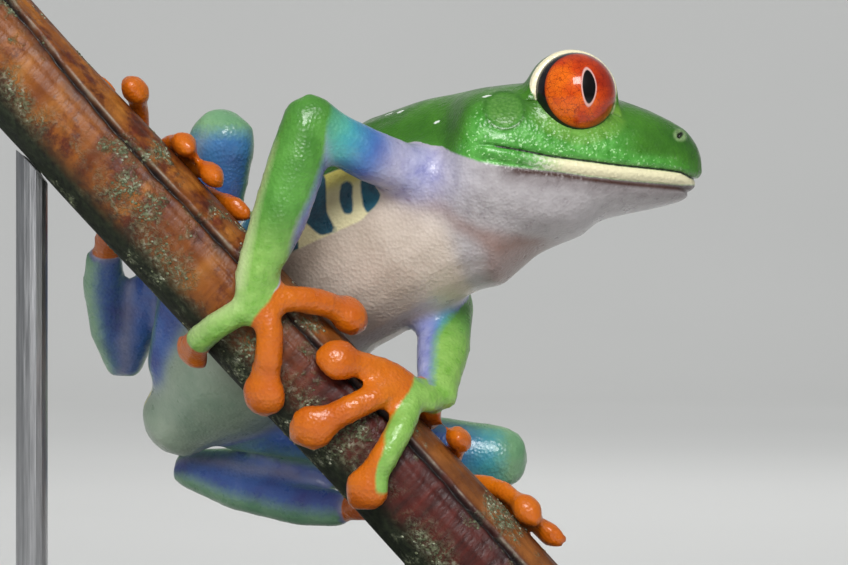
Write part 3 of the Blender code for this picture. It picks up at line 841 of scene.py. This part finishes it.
def forearm_marks(mm, share, side):
    """Green outside with a pale line on the right, blue inside, and lime towards the hand."""
    fore = share["forearm_" + side]
    _, reach, away = along_path(mm, (ELBOWS[side], WRISTS[side]))
    down = Vector(WRISTS[side]) - Vector(ELBOWS[side])
    aside = away @ np.array(Vector((0.0, 1.0, 0.0)).cross(down).normalized())
    lime = {"lime": share["hand_" + side] + fore * step_between(reach, 8.0, 15.0)}
    if side == "right":
        half = 2.55 - 0.075 * np.maximum(reach - 9.0, 0.0)
        line = np.minimum((aside - half + 0.25 + 0.06 * reach) * 0.5, (reach - 3.6) * 0.2)
        return lime | {
            "green": only_on(fore, (2.6 + aside - 0.5 * bell(reach - 10.5, 2.5)) * 0.35),
            "stripe": only_on(fore, line),
            "blue": fore * step_between(-aside, 1.7, 2.4) * 0.8,
        }
    return lime | {
        "green": only_on(fore, (-0.95 - aside + 1.5 * step_between(reach, 8.5, 13.5)) * 0.22),
        "blue": fore,
        "cyan": fore * bell(aside + 0.5, 0.9) * step_between(reach, 1.0, 5.0) * 0.8,
        "lilac": fore * step_between(aside, 0.2, 1.5),
    }


def hand_marks(mm, normals, share, side):
    """Orange hands and feet, with green along the outer finger of each hand as far as its disc."""
    hand = share["hand_" + side]
    bends = [at_stem(*bend, FINGER_HEIGHT)[0] for bend in OUTER_FINGERS[side]]
    finger = [WRISTS[side], *(tuple(in_mm(np.array(bend))) for bend in bends)]
    far, reach, _ = along_path(mm, finger)
    left_to_go = sum(map(math.dist, finger, finger[1:])) - reach
    half = np.interp(left_to_go, (0.0, 2.5, 6.0), FINGER_HALF_WIDTHS[side])
    facing = -normals[:, 1]
    on_finger = np.minimum(half - far, left_to_go - 0.4 + facing * 0.3)
    marks = {
        "green": only_on(hand, np.where(facing < -0.75, -1.0, on_finger)),
        "orange": np.maximum(hand, share["foot_" + side]),
    }
    if side == "right":
        upwards = normals @ np.array((-0.62, 0.0, 0.78))
        line = np.minimum((upwards - 0.55) * 0.35, (left_to_go - 1.0) * 0.3)
        marks["stripe"] = only_on(hand, np.minimum(line, on_finger))
    return marks


def leg_marks(mm, normals, share, side):
    """Green over the knee and down the outside, blue inside, cyan round the knee, pale edges."""
    x, _, z = mm.T
    facing = -normals[:, 1]
    thigh, shank, tarsus = (share[f"{part}_{side}"] for part in ("thigh", "shank", "tarsus"))
    from_knee = np.linalg.norm(mm - np.array(KNEES[side]), axis=1)
    if side == "right":
        green = np.maximum((z - 14.4) * 0.14, (0.30 - facing) * 0.5)
        rim = step_between(normals[:, 0], 0.1, -0.7) + step_between(normals[:, 0], 0.55, 0.95) * 0.6
        rim = (rim - 0.45) * 0.25
    else:
        green = np.maximum((0.60 - facing) * 0.4, (x - KNEES[side][0] - 0.2) * 0.12)
        rim = step_between(-normals[:, 2], -0.35, 0.6) + step_between(normals[:, 2], 0.75, 1.0) * 0.5
        rim = (rim - 0.5) * 0.3
    return {
        "green": np.maximum(only_on(np.maximum(thigh, shank), green), only_on(tarsus, rim)),
        "blue": np.maximum(np.maximum(thigh, shank) * step_between(facing, -0.3, 0.2), tarsus * 0.95),
        "cyan": (thigh + shank) * bell(from_knee - 2.9, 1.6) * (0.9 if side == "left" else 0.25),
        "pale_rim": np.maximum(tarsus, (thigh + shank) * 0.7) * step_between(facing, -0.6, 0.1),
    }


def limb_marks(mm, normals, share):
    """The limbs' green as a distance inside its edge, and their other masks, the larger holding."""
    made = {}
    for side in ("right", "left"):
        for marks in (
            upper_arm_marks(mm, normals, share, side),
            forearm_marks(mm, share, side),
            hand_marks(mm, normals, share, side),
            leg_marks(mm, normals, share, side),
        ):
            for name, amount in marks.items():
                made[name] = np.maximum(made.get(name, amount), amount)
    stripe = edge_mask(made.pop("stripe"))
    green = made.pop("green")
    return green, {"stripe": stripe} | {name: np.clip(amount, 0.0, 1.0) for name, amount in made.items()}


LIP_EDGE = (  # the lower edge of the pale lip, like the mouth's line
    (7.0, 10.9), (9.9, 10.6), (12.6, 10.35), (15.5, 9.95),
    (18.4, 9.65), (21.2, 9.45), (24.2, 9.25), (26.0, 9.3),
)
HEAD_GREEN_EDGE = ((0.6, 11.6), (2.3, 12.3), (3.2, 11.9), (5.2, 11.2), *LIP_EDGE)
# The way back along the trunk in mm, and the turn from the spine in degrees, of edges on the trunk.
BACK_GREEN_EDGE = ((0.0, 92.0), (8.0, 96.0), (11.0, 85.0), (15.0, 68.0), (26.0, 51.0), (60.0, 48.0))
PALE_BAND_END = ((11.5, 70.0), (12.5, 99.0), (14.0, 109.0), (19.0, 104.0), (30.0, 90.0), (40.0, 60.0))
THROAT_CREASE = ((0.0, 150.0), (1.5, 144.0), (5.2, 139.0), (7.4, 131.0), (8.9, 118.0), (12.0, 100.0))
MM_PER_DEGREE = 0.16  # round the trunk
MM_PER_DEGREE_THROAT = 0.21
FLANK_BARS = (  # the dark cells between the pale bars: both ends of each in mm, and half its width
    ((-10.5, 9.6), (-10.4, 6.4), 1.15),
    ((-10.4, 6.4), (-9.6, 5.4), 0.95),
    ((-9.6, 5.3), (-8.4, 4.9), 0.42),
    ((-7.35, 9.1), (-7.45, 7.9), 0.62),
    ((-7.45, 7.9), (-7.2, 6.9), 0.58),
    ((-5.05, 9.5), (-4.8, 7.3), 0.95),
    ((-13.9, 8.6), (-12.9, 3.2), 1.0),
    ((-17.2, 6.0), (-15.6, 0.6), 1.1),
    ((-20.4, 2.6), (-18.6, -2.6), 1.2),
)
CHEST_BLUE, ARMPIT_BLUE = (0.6, -3.6, 10.0), (3.2, 9.0, -1.5)
BACK_SPOTS = (
    (5.8, -2.6, 17.5), (1.4, 0.4, 15.1), (3.0, 3.4, 18.1),
    (4.3, 4.2, 18.6), (-2.3, 5.0, 16.4), (-3.4, 6.2, 16.2),
)
SPOT_RADIUS = 0.32


def in_bar(x, z, start, end, half):
    """How far inside a round-ended bar a place is, in mm; below 0 outside it."""
    along = np.array(end) - np.array(start)
    share = np.clip(((x - start[0]) * along[0] + (z - start[1]) * along[1]) / (along @ along), 0.0, 1.0)
    return half - np.hypot(x - start[0] - share * along[0], z - start[1] - share * along[1])


def trunk_marks(mm, head, trunk, back, turn):
    """The barred flanks, the blue at the arms, painted shade in the crease under the throat and on the chest
    below it, and the paler throat.
    """
    x = mm[:, 0]
    chest_blue = bell(np.linalg.norm(mm - np.array(CHEST_BLUE), axis=1), 3.0)
    armpit_blue = bell(np.linalg.norm(mm - np.array(ARMPIT_BLUE), axis=1), 2.2)
    _, _, away = along_path(mm, TRUNK_LINE)
    mirrored = mm - 2.0 * np.minimum(away @ TRUNK_RIGHT, 0.0)[:, None] * TRUNK_RIGHT  # the left flank too
    cells = np.max([in_bar(mirrored[:, 0], mirrored[:, 2], *bar) for bar in FLANK_BARS], axis=0)
    edge_turn = on_path(BACK_GREEN_EDGE, back)
    band = np.minimum(np.abs(turn) - edge_turn, on_path(PALE_BAND_END, back) - np.abs(turn)) * MM_PER_DEGREE
    below = (np.abs(turn) - on_path(THROAT_CREASE, back)) * MM_PER_DEGREE_THROAT
    # painted shade: the crease under the throat and the chest below it are darkened brown
    crease = 0.7 * bell(below, 0.9) * step_between(12.5 - back, 0.0, 2.0)
    deep = 0.6 * step_between(below, 0.2, 0.9) * step_between(6.4 - back, 0.0, 2.5)
    deep = deep * step_between(11.0 - x, -3.0, 1.0) * step_between(x, 3.0, 7.0)
    return {
        "shoulder_blue": np.clip(chest_blue * 0.55 + trunk * armpit_blue, 0.0, 1.0),
        "flank_cell": np.where(trunk > 0.4, edge_mask(cells, 0.8), 0.0),
        "flank_pale": np.where(trunk > 0.4, edge_mask(np.minimum(band, (back - 12.6) * 0.8)), 0.0),
        "yellow": np.where(trunk > 0.4, step_between(edge_turn + 16.0 - np.abs(turn), 0.0, 8.0), 0.0),
        "fold": trunk * np.clip(crease + deep, 0.0, 1.0),
        "throat": np.clip(head + step_between(9.5 - back, 0.0, 3.0) * trunk, 0.0, 1.0),
    }


def back_spots(mm):
    """The few small white spots on the back and the nape."""
    nearest = [np.linalg.norm((mm - np.array(spot)) * (0.62, 1.0, 1.3), axis=1) for spot in BACK_SPOTS]
    return edge_mask(SPOT_RADIUS - np.min(nearest, axis=0), 0.4)


def head_marks(mm, normals, share, head):
    """The lips and the line between them painted as shade, the painted shadow under the lower lip, the
    brighter cheek, the nostrils with painted shade in their slits, and the ear discs.
    """
    x, y, z = mm.T
    above = z - on_path(MOUTH_PATH, x)
    above_edge = z - on_path(LIP_EDGE, x)
    # painted shadow below the lower lip's edge, fading downwards
    shadow_under_lip = np.maximum(bell(-above_edge - 0.35, 0.38), 0.40 * bell(-above_edge - 0.9, 0.8))
    cheek = step_between(above, 5.0, 2.0) * step_between(27.0 - x, 0.0, 6.0)
    cheek = cheek * step_between(x - 0.35 * (z - 12.0), 2.2, 4.2)
    off_cheek = (np.abs(y - HEAD_MIDDLE) < 5.0) * 9.0  # keeps the ear discs off the head's middle
    from_ear = np.hypot(x - EAR[0], z - EAR[2]) + off_cheek
    from_nostril = np.hypot(x - NOSTRIL[0], (z - NOSTRIL[2]) * 1.1)
    on_side = np.abs(normals[:, 1]) > 0.15
    return {
        "lip": np.where(head > 0.5, edge_mask(np.minimum(-above - 0.08, above_edge), 0.8), 0.0),
        "lip_run": step_between(x, 9.8, 13.8),
        "lip_fade": step_between(x, 8.2, 12.0) * (head > 0.5) * step_between(-above, 0.0, 0.3),
        "shadow_under_lip": (head > 0.5) * shadow_under_lip * step_between(x, 5.0, 9.0),
        # painted shade: a dark line in the crease where the lips meet
        "mouth_line": (head > 0.5) * edge_mask(0.10 - np.abs(above), 0.3) * step_between(x, 5.2, 7.0),
        "cheek": np.where(head + share["trunk_front"] > 0.5, cheek, 0.0),
        "snout": head * step_between(x, 17.0, 21.0) * step_between(above, 0.7, 1.6),
        "ear_disc": head * step_between(EAR_RADIUS - from_ear, 0.0, 0.3),
        "ear_ring": head * bell(from_ear - EAR_RADIUS - 0.05, 0.16),
        "nostril_ring": on_side * step_between(0.85 - from_nostril, 0.0, 0.35),
        # painted shade: the nostril's slit painted near black
        "nostril_pit": on_side * step_between(0.50 - from_slit(x, z), 0.0, 0.16),
    }


def lid_marks(points):
    """The cream edge of each eye opening, thin at the front and gone below, the lower lid, and painted shade
    in the crease under it.
    """
    rim = np.full(len(points), -1.0)
    lower_lid = np.zeros(len(points))
    lid_crease = np.zeros(len(points))
    for centre, axis in EYES.values():
        away, far, angle = from_eye(points, centre, axis)
        low = np.clip(-away[:, 2] / LID_RADIUS, -1.0, 1.0)
        around = -away[:, 0] / np.maximum(np.hypot(away[:, 0], away[:, 2]), NEARLY_NOTHING)
        width = 0.50 + 0.34 * step_between(around, 0.0, 0.9) - 0.12 * step_between(-around, 0.2, 0.9)
        width = width - (width - 0.02) * step_between(low, -0.50, 0.13)
        outside = np.maximum(angle - LID_OPENING, 0.0) * far
        off_edge = np.hypot(outside, 0.6 * np.maximum(far - LID_RADIUS, 0.0)) * 1000.0
        rim = np.maximum(rim, width - off_edge)
        under_eye = (far < 0.0062) * step_between(low, 0.1, 0.7)
        lower_lid += under_eye * bell(off_edge - 0.20, 0.32)
        # painted shade: a dark line in the crease below the lower lid
        lid_crease += under_eye * bell(off_edge - 0.60, 0.13)
    return {
        "rim": edge_mask(rim, 0.5),
        "lower_lid": np.clip(lower_lid, 0.0, 1.0),
        "lid_crease": np.clip(lid_crease, 0.0, 1.0),
    }


def markings(points, normals, edges):
    """The frog's colours as masks from 0 to 1, each with its edge at 0.5."""
    mm = in_mm(points)
    x, _, z = mm.T
    share = part_shares(points, edges, 6)
    head = share["head"] + share["lower_jaw"]
    trunk = share["trunk_front"] + share["trunk_rear"]
    _, back, away = along_path(mm, TRUNK_LINE)
    turn = np.degrees(np.arctan2(away @ TRUNK_RIGHT, away @ TRUNK_DORSAL))
    limb_green, limbs = limb_marks(mm, normals, share)
    head_green = z - on_path(HEAD_GREEN_EDGE, x)
    back_green = (on_path(BACK_GREEN_EDGE, back) - np.abs(turn)) * MM_PER_DEGREE
    on_nape = np.where(head > trunk, np.minimum(head_green, np.maximum(back_green, -0.4)), back_green)
    body_green = np.where(x > 2.3, head_green, on_nape)
    body = np.clip(head + trunk, 0.0, 1.0)
    rump = trunk * step_between(back, 30.0, 40.0) + share["thigh_right"] * 0.9 + share["thigh_left"] * 0.5
    return {
        "green": edge_mask(np.where(1.0 - body > 0.5, limb_green, body_green)),
        "body": body,
        "rump": np.clip(rump, 0.0, 1.0),
        "spot": back_spots(mm),
        **limbs,
        **trunk_marks(mm, head, trunk, back, turn),
        **head_marks(mm, normals, share, head),
        **lid_marks(points),
    }


FINE_MASKS = ("rim", "mouth_line", "lip", "shadow_under_lip", "spot", "nostril_pit", "nostril_ring", "ear_ring")
skin_edges = edges_of(skin_mesh)
skin_masks = markings(points_of(skin_mesh), normals_of(skin_mesh), skin_edges)
for name, values in skin_masks.items():
    if name not in FINE_MASKS:
        skin_masks[name] = smoothed(values[:, None], skin_edges, 3)[:, 0]
add_masks(skin, skin_masks)


# The skin's paint goes on in coats, from the pale belly to the greens, the lips and the lids. Each
# coat is cloudy, as if sponged on, and a thin clear gloss lies over them all.
def maths(tree, operation, *given):
    """The result of one sum on sockets or numbers."""
    return add(tree, "ShaderNodeMath", dict(enumerate(given)), operation=operation).outputs[0]


def skin_greens(tree, mask, clouds, mottle, specks):
    """The greens: deep on the back, brighter on the limbs and the cheek, with painted glints on the cheek's
    granules, lime by the hands.
    """
    back = ramp(tree, clouds, (0.25, (0.014, 0.085, 0.004)), (0.75, (0.06, 0.22, 0.012)))
    limbs = ramp(tree, clouds, (0.3, (0.035, 0.16, 0.015)), (0.7, (0.11, 0.33, 0.05)))
    cheek = ramp(tree, mottle, (0.3, (0.04, 0.23, 0.02)), (0.7, (0.11, 0.42, 0.065)))
    # painted highlights: pale glints on the cheek's granules
    painted_glints = ramp(tree, specks, (0.60, 0.0), (0.68, 0.8))
    return painted(
        tree,
        mix(tree, mask["body"], limbs, back),
        (mask["cheek"], mix(tree, painted_glints, cheek, (0.42, 0.74, 0.34))),
        (mask["snout"], back),
        (mask["ear_disc"], ramp(tree, specks, (0.35, (0.055, 0.19, 0.022)), (0.7, (0.11, 0.28, 0.05)))),
        (mask["ear_ring"], (0.03, 0.13, 0.01)),
        (mask["lime"], ramp(tree, mottle, (0.3, (0.17, 0.38, 0.055)), (0.7, (0.27, 0.48, 0.105)))),
        (mask["pale_rim"], ramp(tree, clouds, (0.3, (0.13, 0.30, 0.17)), (0.7, (0.28, 0.47, 0.30)))),
    )


def skin_paint(names):
    """The whole finish of the skin, with the granules of its relief."""
    made, tree, shader, place = new_material("skin_paint")
    mask = read_masks(tree, names)
    wear = grain(tree, place, 2600, detail=3.0)
    clouds = grain(tree, place, 210, detail=5.0, coarseness=0.6)
    mottle = grain(tree, place, 900, detail=4.0)
    specks = grain(tree, place, 3400)
    granules = {"Vector": place, "Scale": 2900.0, "Randomness": 0.9}
    granules = add(tree, "ShaderNodeTexVoronoi", granules).outputs["Distance"]

    def edged(name, softness=0.06):
        """A mask cut at its edge, with the edge roughened a little by the grain."""
        worn = mix(tree, 0.03, mask[name], wear, "LINEAR_LIGHT")
        return ramp(tree, worn, (0.5 - softness, 0.0), (0.5 + softness, 1.0))

    green_share = edged("green")
    pale_share = edged("flank_pale")
    belly = ramp(tree, clouds, (0.3, (0.47, 0.385, 0.315)), (0.7, (0.64, 0.55, 0.47)))
    throat = ramp(tree, mottle, (0.25, (0.34, 0.31, 0.32)), (0.75, (0.48, 0.45, 0.46)))
    rump = ramp(tree, clouds, (0.3, (0.26, 0.36, 0.26)), (0.7, (0.42, 0.50, 0.38)))
    lilac = ramp(tree, mottle, (0.3, (0.16, 0.19, 0.45)), (0.7, (0.42, 0.42, 0.66)))
    pale_lilac = ramp(tree, mottle, (0.3, (0.22, 0.24, 0.52)), (0.7, (0.40, 0.42, 0.66)))
    blues = ((0.3, (0.045, 0.060, 0.26)), (0.55, (0.045, 0.125, 0.42)), (0.75, (0.13, 0.19, 0.46)))
    cyan = ramp(tree, clouds, (0.35, (0.022, 0.27, 0.40)), (0.65, (0.09, 0.42, 0.34)))
    elbow = ramp(tree, clouds, (0.3, (0.04, 0.24, 0.09)), (0.7, (0.11, 0.35, 0.11)))
    dark_cell = ramp(tree, mottle, (0.3, (0.01, 0.065, 0.11)), (0.7, (0.025, 0.12, 0.18)))
    oranges = ((0.25, (0.45, 0.075, 0.001)), (0.6, (0.58, 0.138, 0.003)), (0.8, (0.66, 0.175, 0.006)))
    whitish = ramp(tree, specks, (0.45, (0.20, 0.48, 0.14)), (0.6, (0.62, 0.70, 0.55)))
    colour = painted(
        tree,
        belly,
        (mask["throat"], throat),
        (mask["rump"], rump),
        # painted shade in the throat's crease and under the chest
        (mask["fold"], (0.20, 0.085, 0.050)),
        # painted shadow under the lower lip
        (mask["shadow_under_lip"], (0.05, 0.018, 0.012)),
        (mask["shoulder_blue"], lilac),
        (mask["blue"], ramp(tree, clouds, *blues)),
        (mask["cyan"], cyan),
        (mask["lilac"], pale_lilac),
        (mask["elbow"], elbow),
        (pale_share, mix(tree, mask["yellow"], (0.80, 0.74, 0.45), (0.78, 0.68, 0.16))),
        (both(tree, pale_share, edged("flank_cell")), dark_cell),
        (edged("orange"), ramp(tree, clouds, *oranges)),
        (green_share, skin_greens(tree, mask, clouds, mottle, specks)),
        (both(tree, mask["lip_fade"], green_share), whitish),
        (maths(tree, "MULTIPLY", edged("stripe", 0.12), 0.8), (0.52, 0.62, 0.30)),
        (both(tree, edged("lip"), mask["lip_run"]), (0.80, 0.74, 0.48)),
        (mask["lower_lid"], (0.30, 0.52, 0.07)),
        # painted shade in the crease under the lower lid
        (maths(tree, "MULTIPLY", mask["lid_crease"], 0.75), (0.018, 0.11, 0.010)),
        (edged("rim"), mix(tree, mask["lower_lid"], (0.84, 0.76, 0.52), (0.62, 0.66, 0.22))),
        (maths(tree, "MULTIPLY", mask["nostril_ring"], 0.6), (0.28, 0.40, 0.18)),
        # painted shade in the nostril's slit
        (mask["nostril_pit"], (0.006, 0.008, 0.004)),
        # painted shade in the crease where the lips meet
        (edged("mouth_line"), (0.012, 0.022, 0.008)),
        (edged("spot"), (0.80, 0.86, 0.78)),
    )
    feed(tree, shader, {"Base Color": colour, "Roughness": ramp(tree, mottle, (0.3, 0.24), (0.7, 0.46))})
    feed(tree, shader, {"Coat Weight": 0.25, "Coat Roughness": 0.12})
    bump(tree, shader, granules, 0.00009, 0.6)
    bump(tree, shader, mottle, 0.00012, 0.5)
    return made


skin_mesh.materials.append(skin_paint(skin_masks))
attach(skin, "root")
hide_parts(*FLESH)


# Eyes: two polished resin balls set into the lids, each painted with a red iris full of fine
# dark veins round an upright slit pupil, with a dark rim, under a clear gloss.
IRIS_EDGE = math.radians(65.0)
PUPIL_HALF = (math.radians(9.3), math.radians(23.4))
PUPIL_ROUNDING = 1.75  # 1 would give the pupil straight sides, and 2 an oval
LOOK_FORWARD = Vector((0.105, 0.0, 0.035))
CORNEA_RISE = 0.00012
VEINS = (  # cycles to the radian, how strong, half the width, and colour
    (6.0, 0.75, 0.045, (0.14, 0.006, 0.001)),
    (13.0, 0.5, 0.06, (0.22, 0.011, 0.001)),
)


def eye_ball(name, centre, axis, finish, rings=96, sides=144):
    """A ball with its pole on the optical axis; the cornea stands a little proud of it."""
    right = Vector((0.0, 0.0, 1.0)).cross(axis).normalized()
    up = axis.cross(right).normalized()
    points, seen = [], []
    for ring in range(rings + 1):
        angle = math.pi * ring / rings
        radius = EYE_RADIUS + CORNEA_RISE * math.exp(-((angle / 0.8) ** 4))
        for side in range(sides if 0 < ring < rings else 1):
            turn = 2.0 * math.pi * side / sides
            flat = right * math.cos(turn) + up * math.sin(turn)
            points.append(centre + (axis * math.cos(angle) + flat * math.sin(angle)) * radius)
            seen.append((angle * math.cos(turn), angle * math.sin(turn), angle))
    faces = []
    last = len(points) - 1
    for side in range(sides):
        beside = (side + 1) % sides
        faces.append((0, 1 + side, 1 + beside))
        for row in range(1, last - sides, sides):
            faces.append((row + side, row + sides + side, row + sides + beside, row + beside))
        faces.append((last - sides + side, last, last - sides + beside))
    made = mesh_object(name, points, faces, finish)
    add_masks(made, dict(zip(("eye_across", "eye_along", "eye_angle"), zip(*seen))))
    return made


def iris_under_gloss():
    """The iris painted in radians from the eye's axis: across, upwards and outwards."""
    made, tree, shader, _ = new_material("iris_under_gloss")
    across, along, angle = read_masks(tree, ("eye_across", "eye_along", "eye_angle")).values()
    flat = add(tree, "ShaderNodeCombineXYZ", {"X": across, "Y": along}).outputs[0]
    warp = add(tree, "ShaderNodeTexNoise", {"Vector": flat, "Scale": 6.0, "Detail": 4.0}).outputs["Color"]
    bent = mix(tree, 0.22, flat, warp, "ADD")
    # painted light: the iris is made brighter low down and darker towards one side
    lit_low = maths(tree, "MULTIPLY_ADD", along, -0.12, grain(tree, flat, 1.6, detail=3.0))
    tone = maths(tree, "MULTIPLY_ADD", across, -0.28, lit_low)
    reds = ((0.3, (0.33, 0.018, 0.001)), (0.5, (0.56, 0.050, 0.002)), (0.75, (0.76, 0.135, 0.004)))
    iris = ramp(tree, tone, *reds)
    for cycles, strength, half, colour in VEINS:
        net = {"Vector": bent, "Scale": cycles}
        net = add(tree, "ShaderNodeTexVoronoi", net, feature="DISTANCE_TO_EDGE")
        vein = ramp(tree, net.outputs["Distance"], (0.0, strength), (half, 0.0))
        iris = mix(tree, vein, iris, colour)
    past_edge = maths(tree, "SUBTRACT", angle, IRIS_EDGE)
    soft_edge = maths(tree, "MULTIPLY_ADD", past_edge, 2.0, 0.5)
    sharp_edge = maths(tree, "MULTIPLY_ADD", past_edge, 10.0, 0.5)
    halves = zip((across, along), PUPIL_HALF)
    shares = [maths(tree, "ABSOLUTE", maths(tree, "DIVIDE", way, half)) for way, half in halves]
    slit = maths(tree, "ADD", *(maths(tree, "POWER", share, PUPIL_ROUNDING) for share in shares))
    slit = maths(tree, "MULTIPLY", slit, 0.25)
    iris = painted(
        tree,
        iris,
        (ramp(tree, soft_edge, (0.30, 0.0), (0.47, 0.7)), (0.22, 0.012, 0.002)),
        (ramp(tree, sharp_edge, (0.45, 0.0), (0.55, 1.0)), (0.006, 0.005, 0.008)),
        (ramp(tree, slit, (0.31, 0.9), (0.37, 0.0)), (0.66, 0.42, 0.38)),
        (ramp(tree, slit, (0.235, 1.0), (0.27, 0.0)), (0.002, 0.001, 0.001)),
    )
    feed(tree, shader, {"Base Color": iris, "Roughness": 0.32, "Specular IOR Level": 0.1})
    feed(tree, shader, {"Coat Weight": 1.0, "Coat IOR": 1.38, "Coat Roughness": 0.02})
    return made


iris_paint = iris_under_gloss()
for side, (centre, axis) in EYES.items():
    ball = eye_ball("eye_ball_" + side, centre, (axis + LOOK_FORWARD).normalized(), iris_paint)
    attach(ball, "root")
    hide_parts("eye_" + side)


# Studio: a plain pale floor that the base rests on and a pale wall behind it, both matt paper,
# with a camera level with the hands and large soft lights above, in front and behind.
SWEEP_HALF = 2.4
SWEEP_FRONT, SWEEP_BACK, SWEEP_TOP = -2.4, 1.5, 1.7
SWEEP_ROUND = 0.5
BEND_STEPS = 24
CAMERA_PLACE = (0.015, -0.329, 0.047)
CAMERA_LENS = 144.9
FROG_MIDDLE = (0.01, 0.0, 0.05)

floor_paper, tree, shader, place = new_material("floor_paper")
paper = mix(tree, grain(tree, place, 6), (0.64, 0.64, 0.625), (0.68, 0.68, 0.665))
feed(tree, shader, {"Base Color": paper, "Roughness": 0.9, "Specular IOR Level": 0.2})
profile = [(SWEEP_FRONT, 0.0), (SWEEP_BACK - SWEEP_ROUND, 0.0)]
for step in range(1, BEND_STEPS + 1):
    turn = math.radians(90.0) * step / BEND_STEPS
    rise = SWEEP_ROUND * (1 - math.cos(turn))
    profile.append((SWEEP_BACK - SWEEP_ROUND + SWEEP_ROUND * math.sin(turn), rise))
profile.append((SWEEP_BACK, SWEEP_TOP))
sweep_points = [(side, y, z) for y, z in profile for side in (-SWEEP_HALF, SWEEP_HALF)]
sweep_faces = [(row, row + 1, row + 3, row + 2) for row in range(0, len(sweep_points) - 2, 2)]
mesh_object("studio_sweep", sweep_points, sweep_faces, floor_paper)

camera = linked_object("camera", bpy.data.cameras.new("camera"))
camera.data.sensor_width = 36.0
camera.data.lens = CAMERA_LENS
camera.data.clip_start = 0.01
camera.location = CAMERA_PLACE
camera.rotation_euler = (math.radians(90.0), 0.0, 0.0)
bpy.context.scene.camera = camera


def soft_light(name, place, aim, size, power, beam=180.0, gloss=True):
    """An area light aimed at a point, its beam in degrees; without gloss it leaves no reflection."""
    made = linked_object(name, bpy.data.lights.new(name, "AREA"))
    made.data.shape = "RECTANGLE"
    made.data.size, made.data.size_y = size
    made.data.spread = math.radians(beam)
    made.data.energy = power
    made.location = place
    made.rotation_euler = (Vector(aim) - Vector(place)).to_track_quat("-Z", "Y").to_euler()
    made.visible_glossy = gloss
    made.visible_camera = False


soft_light("key", (0.062, -0.43, 0.345), FROG_MIDDLE, (0.19, 0.19), 0.42, beam=80.0)
soft_light("fill", (-0.18, -0.55, 0.27), FROG_MIDDLE, (0.3, 0.3), 0.29, beam=80.0, gloss=False)
soft_light("rim", (0.12, 0.4, 0.42), FROG_MIDDLE, (0.3, 0.3), 0.9, gloss=False)
soft_light("backdrop", (0.0, 0.62, 0.95), (0.0, 1.45, 0.05), (1.6, 0.5), 7.5, gloss=False)
world = bpy.data.worlds.new("studio")
world.use_nodes = True
sky = world.node_tree.nodes["Background"]
feed(world.node_tree, sky, {"Color": (0.9, 0.95, 1.0), "Strength": 0.22})
bpy.context.scene.world = world
bpy.context.scene.view_settings.view_transform = "Standard"
